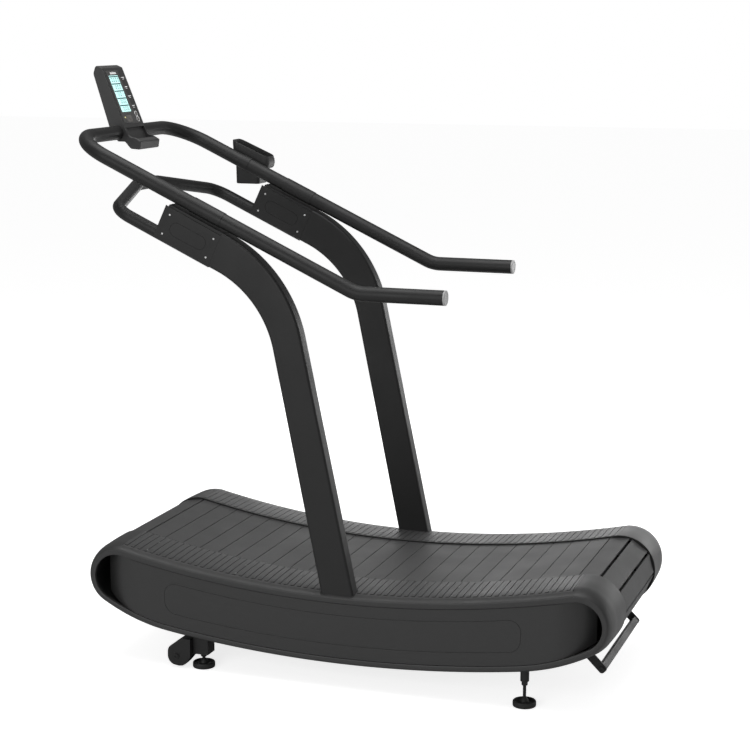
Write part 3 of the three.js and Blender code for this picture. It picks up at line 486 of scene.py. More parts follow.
# ---------- side covers, panels and foot rails ----------
def build_cover(side, sign):
    ease = 0.4
    seams = [abs(x) + d for x in reversed(RAIL_X) for d in (-ease, ease)]
    skin = DeckOutline(**DECK, seams=seams)
    rim = DeckOutline(**RIM, seams=seams)
    x = skin.at()[:, 0]
    over_rail = skin.is_top & (x > RAIL_X[0] - ease / 2) & (x < RAIL_X[1] + ease / 2)

    def ring(outline, y, inset):
        return across(outline.at(inset), sign * y)

    rings = [
        ring(skin, COVER_INNER, COVER_WALL),
        ring(skin, COVER_INNER, 1.0),
        ring(skin, COVER_INNER + 0.3, 0.3),
        ring(skin, COVER_INNER + 1.0, 0.0),
        ring(skin, RAIL_Y[0] - ease, 0.0),
    ]
    for y in np.linspace(RAIL_Y[0], RAIL_Y[1], 20):
        rings.append(ring(skin, y, crown(y) + BED_SINK * over_rail))
    for turn in np.linspace(math.asin((RAIL_Y[1] + ease - CROWN_START) / 64), math.pi / 2, 12):
        y = CROWN_START + 64 * math.sin(turn)
        rings.append(ring(skin, y, crown(y)))
    face_rise = 0.4
    rings += [
        ring(rim, COVER_OUTER - face_rise / 2, -5.0),
        ring(rim, COVER_OUTER - face_rise, -2.6),
        ring(rim, COVER_OUTER - 1.1, -0.8),
        ring(rim, COVER_OUTER - 3.0, 0.0),
        ring(rim, COVER_OUTER - FLANGE, 0.0),
        ring(skin, COVER_OUTER - FLANGE, COVER_WALL + crown(COVER_OUTER - FLANGE)),
        ring(skin, CROWN_START, COVER_WALL + crown(CROWN_START)),
    ]
    shape = Shape().loft(rings, wrap=True)
    piece(f"{side}_cover_shell", shape, PLASTIC, [f"{side}_side_cover"], sharp=38)
    # Painted shade: a thin black strip over the cover's inner wall, down to the belt, paints the shadowed
    # gap between belt and cover. It is not a real seal.
    shade_lip = [(COVER_INNER - 0.7, 8.5), (COVER_INNER - 0.7, 0.9), (COVER_INNER + 0.3, 0.7),
           (COVER_INNER + 0.3, 8.5)]
    shade_strip = Shape().loft([ring(skin, y, inset) for y, inset in shade_lip], wrap=True)
    piece(f"{side}_cover_shade_strip", shade_strip, BAND_AND_SHADE)


def racetrack(size, top_inset, low_inset, end_x, radius, counts):
    """The panel's engraved outline, with the same runs of points as the deck outline has."""
    base = DeckOutline(**size)

    def upper(x):
        return base.top_z(x, top_inset)

    def lower(x):
        return size["under_low"] + UNDER_R - math.sqrt((UNDER_R - low_inset) ** 2 - x**2)

    low_n, end_n, top_n = counts
    flat_x = end_x - radius
    low = [(x, lower(x)) for x in np.linspace(0, flat_x, low_n, endpoint=False)]
    top = [(x, upper(x)) for x in np.linspace(flat_x, 0, top_n)]
    end = rounded(
        [(flat_x, lower(flat_x)), (end_x, lower(end_x)), (end_x, upper(end_x)), (flat_x, upper(flat_x))],
        [0, radius - LOW_CORNER_EASE, radius - TOP_CORNER_EASE, 0], 14, closed=False,
    )
    right = np.array([*low, *resample(end, end_n + 1)[:-1].tolist(), *top])
    left = right[1:-1][::-1] * np.array([-1, 1])
    return np.vstack([right, left])


def build_panel(side, sign):
    """The sunk side panel: flat in the middle, scooped inwards at its ends, with a fine groove."""
    outline = DeckOutline(**RIM)
    edge_x = PANEL_FLAT_X + PANEL_SCOOP_R * math.sin(PANEL_TURN)
    half = len(outline.at()) // 2
    tops = int(outline.is_top[: half + 1].sum())
    lows = 24
    counts = (lows, half + 1 - tops - lows, tops)

    def sheet(points, sink=0.0):
        beyond = np.clip(np.abs(points[:, 0]) - PANEL_FLAT_X, 0, None)
        depth = PANEL_SCOOP_R - np.sqrt(PANEL_SCOOP_R**2 - beyond**2)
        y = sign * (PANEL_Y - depth - sink)
        return np.stack([points[:, 0], y, points[:, 1]], 1)

    def clipped(points):
        return np.stack([np.clip(points[:, 0], -edge_x, edge_x), points[:, 1]], 1)

    outer = clipped(outline.at(0.5))
    inner = racetrack(RIM, **TRACK, counts=counts)
    rings = [sheet(outer, PANEL_SHEET), sheet(outer, 0.7), sheet(clipped(outline.at(1.1)))]
    steps = 24
    for k in range(1, steps + 1):
        t = k / steps
        rings.append(sheet(outer * (1 - t) + offset(inner, -1.5) * t))
    rings.append(sheet(offset(inner, -0.9), 1.0))
    rings.append(sheet(offset(inner, 0.9), 1.0))
    rings.append(sheet(offset(inner, 1.5)))
    spine_end = TRACK["end_x"] - TRACK["radius"]
    spine_x = np.clip(inner[:, 0], -spine_end, spine_end)
    upper = outline.top_z(spine_x, TRACK["top_inset"])
    lower = RIM["under_low"] + UNDER_R - np.sqrt((UNDER_R - TRACK["low_inset"]) ** 2 - spine_x**2)
    spine = np.stack([spine_x, (upper + lower) / 2], 1)
    rings += [sheet(offset(inner, 1.5) * (1 - t) + spine * t) for t in (0.5, 0.999)]
    shape = Shape().loft(rings)
    piece(f"{side}_panel_sheet", shape, PANEL, [f"{side}_side_panel"])


def rail_lines():
    """Where the strip needs a row of points along x, and which of them lie in a groove or hook."""
    rows = [(RAIL_X[0] + d, False, False) for d in (0, 0.5, 1.3)]
    rows += [(RAIL_X[1] - d, False, False) for d in (1.3, 0.5, 0)]
    for k in range(GROOVE_COUNT):
        x = GROOVE_FIRST + k * GROOVE_PITCH
        rows += [
            (x - HOOK_LONG - 0.5, False, False),
            (x - HOOK_LONG, False, True),
            (x - GROOVE_HALF - 0.35, False, True),
            (x - GROOVE_HALF, True, True),
            (x + GROOVE_HALF, True, True),
            (x + GROOVE_HALF + 0.35, False, False),
            (x + 5, False, False),
        ]
    return sorted(row for row in rows if RAIL_X[0] <= row[0] <= RAIL_X[1])


def build_rail(side, sign):
    """The tread strip: a grid whose points sink in the grooves and in the hook at one end of each."""
    skin = DeckOutline(**DECK)
    low, high = (RAIL_Y if sign > 0 else (-RAIL_Y[1], -RAIL_Y[0]))
    hook0 = low + (4 if sign > 0 else 7)
    hook1 = hook0 + HOOK_WIDE
    groove_end = high - (4 if sign > 0 else 3)
    ys = [low, low + 0.5, low + 1.3, hook0 - 0.4, hook0, hook1, hook1 + 0.4]
    ys += list(np.linspace(hook1 + 12, groove_end - 8, 9))
    ys += [groove_end, groove_end + 0.4, high - 1.3, high - 0.5, high]
    ys = sorted(set(ys))
    rows = rail_lines()

    def edge(value, a, b):
        near = min(value - a, b - value)
        return 0.9 if near < 0.1 else 0.25 if near < 0.7 else 0.0

    hooks = [hook0 - 1e-6 <= y <= hook1 + 1e-6 for y in ys]
    grooves = [hook0 - 1e-6 <= y <= groove_end + 1e-6 for y in ys]
    sections = []
    for x, groove, hook in rows:
        section = []
        for y, in_groove, in_hook in zip(ys, grooves, hooks):
            cut = GROOVE_DEEP if (groove and in_groove) or (hook and in_hook) else 0.0
            sink = cut + max(edge(x, *RAIL_X), edge(y, low, high))
            section.append((x, y, float(skin.top_z(x, crown(abs(y)) + sink))))
        ends = [(x, section[k][1], section[k][2] - RAIL_SKIRT) for k in (-1, 0)]
        sections.append(section + ends)
    shape = Shape().loft(sections)
    piece(f"{side}_tread_strip", shape, TREAD, [f"{side}_foot_rail"], sharp=50)
    screws = Shape()
    for x in RAIL_SCREW_X:
        for distance in RAIL_SCREW_Y:
            normal = np.array([-x, 0, skin.top_r])
            place = [x, sign * distance, skin.top_z(x, crown(distance))]
            add_screw(screws, place, normal, RAIL_SCREW_R)
    piece(f"{side}_rail_screws", screws, DARK_SCREW)


def add_screw(shape, place, normal, radius, rise=0.9):
    """A low domed screw head with a round socket."""
    head = [(radius * 0.98, -1.2), (radius, 0), (radius * 0.93, rise * 0.6), (radius * 0.7, rise)]
    head += [(radius * 0.46, rise), (radius * 0.42, rise * 0.9), (radius * 0.40, -0.6)]
    shape.turned(head, place, normal, 24)


# ---------- slat belt ----------
def build_belt():
    fine = 6
    band = resample(DeckOutline(**BELT, fine=fine).at(SLAT_BAND), 8000, closed=True)
    runs = np.linalg.norm(np.diff(np.vstack([band, band[:1]]), axis=0), axis=1)
    lengths = np.concatenate([[0], np.cumsum(runs)])
    total = lengths[-1]
    pitch = total / SLAT_COUNT
    loop = np.vstack([band, band[:1]])

    def at(distance):
        d = distance % total
        return np.array([np.interp(d, lengths, loop[:, 0]), np.interp(d, lengths, loop[:, 1])])

    # The outline starts under the middle of the deck, so half way round is the top's middle.
    first = total / 2 - SLAT_JOINT_X
    w, t, c = SLAT_WIDE / 2, SLAT_THICK, 0.9
    section = np.array([
        (-w + 8, 1), (w - 8, 1), (w - 8, t - 6), (w - 0.6, t - 5), (w, t - 4.4), (w, t - c),
        (w - 0.3, t - 0.3), (w - c, t), (-w + c, t), (-w + 0.3, t - 0.3), (-w, t - c),
        (-w, t - 4.4), (-w + 0.6, t - 5), (-w + 8, t - 6),
    ])
    slats = Shape()
    reach = 27
    for k in range(SLAT_COUNT):
        middle = first + (k + 0.5) * pitch
        a, b = at(middle - reach), at(middle + reach)
        along = unit(b - a)
        out = np.array([along[1], -along[0]])
        centre = (a + b) / 2

        def ring(points, y):
            place = centre + points[:, :1] * along + points[:, 1:] * out
            return across(place, y)

        small = offset(section, 0.9)
        slats.loft([
            ring(small, -SLAT_HALF), ring(section, -SLAT_HALF + 0.9),
            ring(section, SLAT_HALF - 0.9), ring(small, SLAT_HALF),
        ])
    piece("belt_slats", slats, SLAT, ["slat_belt"], sharp=28)
    outline = DeckOutline(**BELT, fine=1.5)
    strips = Shape()
    for y0, y1 in ((-205, -60), (60, 205)):
        rings = [(y0, 13.2), (y0, 18.5), (y1, 18.5), (y1, 13.2)]
        strips.loft([across(outline.at(inset), y) for y, inset in rings], wrap=True)
    piece("belt_bands", strips, BAND_AND_SHADE)


# ---------- uprights, bars and brackets ----------
def upright_edge(x, lean, radius, q):
    floor_x = x - lean * EDGE_Z
    corner_z = (q - floor_x * math.sin(SLOPE)) / (math.cos(SLOPE) + lean * math.sin(SLOPE))
    foot = (x + lean * (UPRIGHT_FOOT_Z - EDGE_Z), UPRIGHT_FOOT_Z)
    corner = (x + lean * (corner_z - EDGE_Z), corner_z)
    end = from_slope(PLATE["s1"], q)
    return rounded([foot, corner, end], [0, radius, 0], 40, closed=False)


def build_upright(side, sign):
    front, rear = (upright_edge(*edge, q) for edge, q in zip(EDGES, UPRIGHT_Q))
    rings = []
    for f, r in zip(front, rear):
        wide = np.linalg.norm(r - f)
        section = box_outline(0, wide, -UPRIGHT_HALF, UPRIGHT_HALF, 8, 7)
        place = f + section[:, :1] * unit(r - f)
        rings.append(np.stack([place[:, 0], sign * BAR_Y + section[:, 1], place[:, 1]], 1))
    shape = Shape().loft(rings)
    low_q = LOOP_Q + LOOP_R + 0.4
    corners = [
        from_slope(PLATE["s0"] + 8, low_q), from_slope(PLATE["s1"] + 10, low_q),
        from_slope(PLATE["s1"] + 10, UPRIGHT_Q[1]), from_slope(PLATE["s0"] + 8, UPRIGHT_Q[1]),
    ]
    core = rounded(corners, 3)
    half = UPRIGHT_HALF - PLATE["thick"] - 0.4
    shape.slab(core, sign * BAR_Y - half, sign * BAR_Y + half, across, 1.0)
    piece(f"{side}_upright_tube", shape, COAT, [f"{side}_upright"], sharp=30)
    build_collar(side, sign)


def build_collar(side, sign):
    """A thin dark gasket where the upright goes into the cover."""
    skin = DeckOutline(**DECK)
    edges = []
    for x, lean, _ in EDGES:
        z = 305.0
        for _ in range(4):
            at = x + lean * (z - EDGE_Z)
            z = float(skin.top_z(at, crown(BAR_Y)))
        edges.append(x + lean * (z - EDGE_Z))

    def ring(grow, rise):
        flat = box_outline(edges[0] - grow, edges[1] + grow,
                           -UPRIGHT_HALF - grow, UPRIGHT_HALF + grow, 8 + grow, 7)
        y = sign * BAR_Y + flat[:, 1]
        z = [float(skin.top_z(a, crown(min(abs(b), 392)))) + rise for a, b in zip(flat[:, 0], y)]
        return np.stack([flat[:, 0], y, z], 1)

    profile = ((-1.0, -3), (-1.0, 1.4), (0.6, 1.6), (2.2, 1.2), (2.8, 0.4), (2.8, -3))
    rings = [ring(grow, rise) for grow, rise in profile]
    piece(f"{side}_upright_gasket", Shape().loft(rings, wrap=True), RUBBER)


def build_plates(side, sign):
    corners = [
        from_slope(PLATE["s0"], PLATE["q0"]), from_slope(PLATE["s1"], PLATE["q0"]),
        from_slope(PLATE["s1"], PLATE["q1"]), from_slope(PLATE["s0"], PLATE["q1"]),
    ]
    outline = rounded(corners, [6, 1, 6, 14], 8)
    middle = from_slope(
        (PLATE["s0"] + PLATE["s1"]) / 2 + PLATE_RING["s"], (PLATE["q0"] + PLATE["q1"]) / 2 + PLATE_RING["q"],
    )
    ring_long, ring_wide = PLATE_RING["long"], PLATE_RING["wide"]
    along = from_slope(1, 0)
    square = from_slope(0, 1)
    flat = box_outline(-ring_long, ring_long, -ring_wide, ring_wide, ring_wide - 0.5, 12)
    track = middle + flat[:, :1] * along + flat[:, 1:] * square
    turns = np.unwrap(np.arctan2(track[:, 1] - middle[1], track[:, 0] - middle[0]))
    outer = np.array([hit(outline, middle, a) for a in turns])
    for face, way in (("outer", 1), ("inner", -1)):
        skin_y = BAR_Y + way * UPRIGHT_HALF
        back_y = skin_y - way * PLATE["thick"]

        def at(points, sink):
            return across(points, sign * (skin_y - way * sink))

        rings = [
            across(outer, sign * back_y), at(outer, 1.0), at(offset(outer, 0.35), 0.35),
            at(offset(outer, 1.0), 0), at(offset(track, -0.9), 0), at(offset(track, -0.5), 0.8),
            at(offset(track, 0.5), 0.8), at(offset(track, 0.9), 0),
        ]
        name = f"{side}_{face}_bracket_plate"
        piece(f"{side}_{face}_plate_sheet", Shape().loft(rings), COAT, [name])
        screws = Shape()
        for x, z in PLATE_SCREWS:
            add_screw(screws, [x, sign * skin_y, z], [0, sign * way, 0], 2.9)
        piece(f"{side}_{face}_plate_screws", screws, SCREW)


def hit(outline, centre, turn):
    """Where a ray from centre meets a closed outline."""
    ray = np.array([math.cos(turn), math.sin(turn)])
    a = outline - centre
    b = np.roll(outline, -1, 0) - centre
    side_a = a[:, 1] * ray[0] - a[:, 0] * ray[1]
    side_b = b[:, 1] * ray[0] - b[:, 0] * ray[1]
    crossing = np.nonzero((side_a <= 0) & (side_b > 0) | (side_a >= 0) & (side_b < 0))[0]
    for i in crossing:
        t = side_a[i] / (side_a[i] - side_b[i])
        place = a[i] + (b[i] - a[i]) * t
        if place @ ray > 0:
            return centre + place
    return centre


def build_bars():
    bend_x = slope_x(BAR_Q, GRIP_Z)
    front_z = slope_z(BAR_Q, BAR_FRONT_X)
    corners = [
        (GRIP_END_X, -BAR_Y, GRIP_Z), (bend_x, -BAR_Y, GRIP_Z), (BAR_FRONT_X, -BAR_Y, front_z),
        (BAR_FRONT_X, BAR_Y, front_z), (bend_x, BAR_Y, GRIP_Z), (GRIP_END_X, BAR_Y, GRIP_Z),
    ]
    bends = [0, GRIP_BEND, BAR_FRONT_BEND, BAR_FRONT_BEND, GRIP_BEND, 0]
    path = rounded(corners, bends, 28, closed=False)
    shape = Shape().sweep(path, BAR_R, 48)
    for sign in (-1, 1):
        ends = [[x, sign * BAR_Y, slope_z(BAR_Q, x)] for x in SLEEVE_X]
        long = float(np.linalg.norm(np.subtract(*ends)))
        axis = np.subtract(ends[1], ends[0])
        sleeve = [(BAR_R - 0.5, 0), (BAR_R + 0.7, 0.2), (BAR_R + 1.3, 1.4), (BAR_R + 1.3, long - 1.4),
                  (BAR_R + 0.7, long - 0.2), (BAR_R - 0.5, long)]
        shape.turned(sleeve, ends[0], axis, 48)
    piece("handlebar_tube", shape, COAT, ["handlebar"], sharp=40)
    start = from_slope(PLATE["s1"] - 6, LOOP_Q)
    half = [
        (start[0], BAR_Y, start[1]), (LOOP_SIDE_X, BAR_Y, slope_z(LOOP_Q, LOOP_SIDE_X)), LOOP_FRONT,
    ]
    corners = [(x, -y, z) for x, y, z in half] + half[::-1]
    bends = [0, LOOP_SIDE_BEND, LOOP_FRONT_BEND, LOOP_FRONT_BEND, LOOP_SIDE_BEND, 0]
    path = rounded(corners, bends, 24, closed=False)
    piece("loop_tube", Shape().sweep(path, LOOP_R, 44), COAT, ["front_loop_bar"])
    for side, sign in SIDES:
        r = BAR_R
        profile = [(r - 4, -6), (r - 0.6, 0.2), (r, 0.7), (r, 4.2), (r - 0.5, 5.2), (r - 1.6, 5.8),
                   (r - 5, 6.0), (r - 6, 5.5), (r - 14, 5.4)]
        cap = Shape().turned(profile, [GRIP_END_X, sign * BAR_Y, GRIP_Z], [1, 0, 0])
        piece(f"{side}_grip_end", cap, CAP, [f"{side}_grip_cap"])


# ---------- feet, wheels, lift handle ----------
def thread(radius, low, high, pitch=1.5, deep=0.45):
    profile = []
    z = low
    while z < high - pitch:
        profile += [(radius - deep, z), (radius, z + pitch * 0.4), (radius, z + pitch * 0.6)]
        z += pitch
    return [*profile, (radius - deep, z), (radius - deep, high)]


def build_foot(end, side, sign):
    x, socket = FEET[end]
    place = [x, sign * FOOT_Y, 0]
    body = f"{end}_{side}_foot"
    pad = [
        (31.0, 0.0), (33.6, 0.8), (34.5, 3.0), (34.5, 12.5), (34.1, 14.8), (32.6, 16.6), (30.6, 17.0),
        (29.2, 16.4), (28.2, 14.4), (26.0, 13.6), (15.0, 13.6), (13.4, 14.6), (12.0, 19.4),
        (9.0, 23.6), (6.6, 26.2), (5.0, 28.0),
    ]
    shape = Shape().turned(pad, place, [0, 0, 1], 64)
    piece(f"{end}_{side}_foot_pad", shape, RUBBER, [f"{end}_{side}_levelling_foot"], body)
    stud = Shape().turned(thread(5.0, 24, socket + 30), place, [0, 0, 1], 28)
    piece(f"{end}_{side}_foot_stud", stud, RUBBER, body=body)
    low = socket - 12
    nut = Shape()
    nut.turned([(8.0, low), (9.5, low + 1.2), (9.5, low + 9.8), (8.0, low + 11)], place, [0, 0, 1], 6)
    nut.turned([(8.2, low - 0.9), (8.8, low - 0.6), (8.8, low)], place, [0, 0, 1], 32)
    piece(f"{end}_{side}_foot_nut", nut, RUBBER, [f"{end}_{side}_lock_nut"])
    if end == "rear":
        bush = [(11.6, 76.0), (12.6, 76.4), (13.0, 77.6), (13.0, 150)]
        piece(f"{side}_rear_foot_bush", Shape().turned(bush, place, [0, 0, 1]), COAT)


def build_wheel(side, sign):
    x, y, z, r, half = WHEEL["x"], WHEEL["y"], WHEEL["z"], WHEEL["r"], WHEEL["wide"] / 2
    hub, dish = 25, 4
    profile = [(6.6, -half + dish - 1), (11, -half + dish - 1), (11.6, -half + dish)]
    profile += [(hub - 1, -half + dish), (hub, -half + 1.2), (hub + 1, -half)]
    profile += [(r - 3.6, -half), (r - 1.6, -half + 0.6), (r - 0.4, -half + 2.2), (r, -half + 4.4)]
    profile += [(radius, -height) for radius, height in reversed(profile)]
    shape = Shape().turned(profile, [x, sign * y, z], [0, 1, 0], 64)
    spokes = 6
    for k in range(spokes):
        a = 2 * math.pi * k / spokes
        spoke = box_outline(9, hub, -2.2, 2.2, 1, 3)
        turn = np.array([[math.cos(a), math.sin(a)], [-math.sin(a), math.cos(a)]])
        outline = spoke @ turn + np.array([x, z])
        shape.slab(outline, sign * y - half + 1.6, sign * y + half - 1.6, across, 0.5)
    piece(f"{side}_wheel_tyre", shape, RUBBER, [f"{side}_transport_wheel"],
          f"{side}_transport_wheel")
    bolt = Shape().turned([(6, -26), (6, 26.5)], [x, sign * y, z], [0, sign, 0], 32)
    washer = [(9.6, 26.2), (9.9, 26.6), (9.9, 27.3), (9.4, 27.6), (5, 27.6)]
    bolt.turned(washer, [x, sign * y, z], [0, sign, 0], 40)
    head = [(8.6, 27.5), (8.6, 30.4), (7.7, 31), (4.6, 31), (4.2, 29.2)]
    bolt.turned(head, [x, sign * y, z], [0, sign, 0], 6)
    piece(f"{side}_wheel_bolt", bolt, COAT, [f"{side}_wheel_axle"])
    build_wheel_bracket(side, sign)


def build_wheel_bracket(side, sign):
    x, y, z = WHEEL["x"], WHEEL["y"], WHEEL["z"]
    rear_x = FEET["front"][0] - 25.4
    nose = 30
    corners = [(x - nose, z - nose), (x + 22, z - nose), (rear_x, z), (rear_x, 97), (x + 14, 97),
               (x - nose, z + 24)]
    outline = rounded(corners, [29, 12, 4, 2, 12, 26], 10)
    shape = Shape()
    for near, far in ((-26, -21), (21, 26)):
        shape.slab(outline, sign * y + near, sign * y + far, across, 1.1)
    web = box_outline(rear_x - 5, rear_x, z + 3, 96, 1, 3)
    shape.slab(web, sign * y - 25, sign * y + 25, across, 0.5)
    boss = [(13, 26), (12.6, 26.1), (12, 26.15), (10.4, 26.2)]
    shape.turned(boss, [x, sign * y, z], [0, sign, 0], 40)
    piece(f"{side}_wheel_fork", shape, COAT, [f"{side}_wheel_bracket"])


def build_lift_handle():
    x, z, half = HANDLE["x"], HANDLE["z"], HANDLE["bar"] / 2
    slant = math.sqrt(0.5)
    square = box_outline(-half, half, -half, half, 2.2, 5)
    turn = np.array([[slant, slant], [-slant, slant]])
    outline = square @ turn + np.array([x, z])
    near = HANDLE["near"]
    bar = Shape().slab(outline, -near + 0.6, near - 0.6, across, 0.8)
    piece("lift_bar", bar, COAT, ["lift_handle_bar"])

    def at(along, aside):
        return (x - along * slant + aside * slant, z + along * slant + aside * slant)

    wide = HANDLE["wide"] / 2
    corners = [at(-wide, -wide), at(-wide, wide), at(HANDLE["reach"], wide), at(HANDLE["reach"], -wide)]
    outline = rounded(corners[::-1], [2, 2, 9, 9], 8)
    for side, sign in SIDES:
        low, high = sorted((sign * near, sign * (near + HANDLE["thick"])))
        tab = Shape().slab(outline, low, high, across, 1.0)
        piece(f"{side}_lift_tab", tab, COAT, [f"{side}_handle_tab"])
        bolt = Shape()
        face = near + HANDLE["thick"]
        bolt.turned([(8.4, face + 0.2), (8.8, face + 0.5), (8.8, face + 1.2), (5, face + 1.4)],
                    [x, 0, z], [0, sign, 0], 40)
        bolt.turned([(7.8, face + 1.2), (7.8, face + 4.4), (7.0, face + 5.2), (4.2, face + 5.2),
                     (3.9, face + 3)], [x, 0, z], [0, sign, 0], 6)
        piece(f"{side}_lift_bolt", bolt, RUBBER, [f"{side}_handle_bolt"])


# ---------- console ----------
def build_housing():
    """The console's body: one profile carried across it, opened between its side walls for the ledge."""
    face_at = FACE_LOW + FACE_UP * 14.2
    rest = rounded(
        [face_at, FACE_TOP, (-922, 1827), (-931, 1800), (-874, 1618), (-850, 1590), (-826, 1590),
         (-806, 1568), (-774, 1566), (-770, 1592), (-785, 1600.6)],
        [0, 5, 9, 18, 4, 4, 8, 14, 5, 5, 0], 8, closed=False,
    )
    closed = rounded([rest[-1], (-790, 1602.6), (-811, 1606.5), face_at], [0, 3, 16, 0], 8, closed=False)
    opened = rounded(
        [rest[-1], (-785, 1577), (-806, 1577), (-829, 1630), face_at], [0, 4, 4, 2, 0], 6, closed=False,
    )
    count = 44
    full = np.vstack([rest[:-1], resample(closed, count)[:-1]])
    ledge = np.vstack([rest[:-1], resample(opened, count)[:-1]])
    edge, wall = 3.0, 62
    rings = []
    for turn in np.linspace(0, math.pi / 2, 6):
        inset = edge * (1 - math.sin(turn))
        rings.append(across(offset(full, inset), -CONSOLE_HALF + edge * (1 - math.cos(turn))))
    rings += [across(full, -wall), across(ledge, -wall)]
    mirrored = [ring * np.array([1, -1, 1]) for ring in reversed(rings)]
    piece("console_body", Shape().loft(rings + mirrored), HOUSING,
          ["console_housing"], sharp=40)


def digit(shape, x, u, tall, wide, lit):
    """One seven-segment figure, u up the face from its foot. lit names its segments from a to g."""
    thick = tall * 0.13
    mid = u + tall / 2
    bars = {
        "a": (x, x + wide, u + tall - thick, u + tall), "g": (x, x + wide, mid - thick / 2, mid + thick / 2),
        "d": (x, x + wide, u, u + thick), "f": (x, x + thick, mid, u + tall),
        "b": (x + wide - thick, x + wide, mid, u + tall), "e": (x, x + thick, u, mid),
        "c": (x + wide - thick, x + wide, u, mid),
    }
    for name in lit:
        x0, x1, u0, u1 = bars[name]
        shape.slab(box_outline(x0, x1, u0, u1, 0.3, 2), 0.40, 0.52, on_face, 0.02, 1)


def build_face():
    half, low, top = 62, 24, FACE_LONG - 8
    plate = rounded([(-half, low), (half, low), (half, top), (-half, top)], [5, 5, 15, 15], 8)
    window = box_outline(-49, 13, 65, 187, 2.5, 4)
    middle = np.array([-18.0, 126.0])
    turns = np.unwrap(np.arctan2(window[:, 1] - middle[1], window[:, 0] - middle[0]))
    outer = np.array([hit(plate, middle, a) for a in turns])
    inset = [(offset(outer, 0), -2.2), (offset(outer, 0), 0.5), (offset(outer, 0.7), 1.0)]
    inset += [(offset(window, -0.8), 1.0), (offset(window, 0), 0.6), (offset(window, 0), -1.3)]
    shape = Shape().loft([on_face(ring, height) for ring, height in inset], wrap=True)
    piece("console_face_plate", shape, FACE, ["console_face"])
    pane = box_outline(-48.6, 12.6, 65.4, 186.6, 2.2, 4)
    glass = Shape().slab(pane, -1.3, 0.45, on_face, 0.15)
    piece("console_display_pane", glass, GLASS, ["console_display"])
    build_display_marks()
    build_face_marks()
    build_keys()


def build_display_marks():
    rows, pitch = 5, 24.0
    shape = Shape()
    figures = ("abcdef", "abcdef", "bc", "abged", "abcdef")
    for k in range(rows):
        top = 186 - k * pitch
        shape.slab(box_outline(-47, 11, top - 5.6, top - 1.6, 0.6, 2), 0.40, 0.52, on_face, 0.02, 1)
        for column in range(4 if k == 0 else 3):
            lit = figures[(k + column) % len(figures)] if column == 0 else "abcdef"
            digit(shape, -8 - 14 * column + (5 if k else 9), top - 20.5, 12.5, 8, lit)
    piece("console_display_marks", shape, INK)


def build_face_marks():
    shape = Shape()
    name_strip = box_outline(-34, 6, 190.5, 197.5, 1.5, 4)
    shape.slab(name_strip, 0.9, 1.25, on_face, 0.1, 1)
    for u in (178, 147, 116, 83):
        shape.slab(box_outline(31, 49, u - 1.6, u + 1.6, 0.8, 3), 0.9, 1.2, on_face, 0.1, 1)
        shape.slab(box_outline(35, 45, u - 6.4, u - 4.6, 0.8, 3), 0.9, 1.2, on_face, 0.1, 1)
    for u in (56, 39):
        middle = np.array([38, u])
        rings = [(9.4, 0.9), (9.4, 1.2), (9.0, 1.4), (7.8, 1.4), (7.4, 1.2), (7.4, 0.9)]
        loops = [on_face(circle(r, 40) + middle, h) for r, h in rings]
        shape.loft(loops, wrap=True)
    piece("console_face_marks", shape, LABEL)
    lens = Shape()
    middle = np.array([-44.0, 47.0])
    dome = ((2.6, 0.9), (2.6, 1.3), (2.2, 1.7), (1.2, 2.0))
    lens.loft([on_face(circle(r, 24) + middle, h) for r, h in dome])
    piece("console_lamp", lens, LAMP)


def build_keys():
    main = box_outline(-37, -3, 31, 53, 3.4, 6)
    deep, rise = -5, 2.4
    levels = [(0, deep), (0, rise - 0.9), (0.25, rise - 0.3), (0.9, rise)]
    dished = [(3.0, rise), (5.0, rise - 0.35)]
    shape = Shape().loft([on_face(offset(main, d), h) for d, h in levels + dished])
    piece("main_key_cap", shape, KEY, ["console_main_key"], "main_key")
    for name, u in (("upper", 56), ("lower", 39)):
        middle = np.array([38, u])
        profile = [(6.5, deep), (6.5, rise - 0.8), (6.2, rise - 0.2), (5.4, rise), (3, rise + 0.0),
                   (1.2, rise - 0.25)]
        shape = Shape().loft([on_face(circle(r, 36) + middle, h) for r, h in profile])
        piece(f"{name}_round_key_cap", shape, KEY, [f"console_{name}_round_key"],
              f"{name}_round_key")


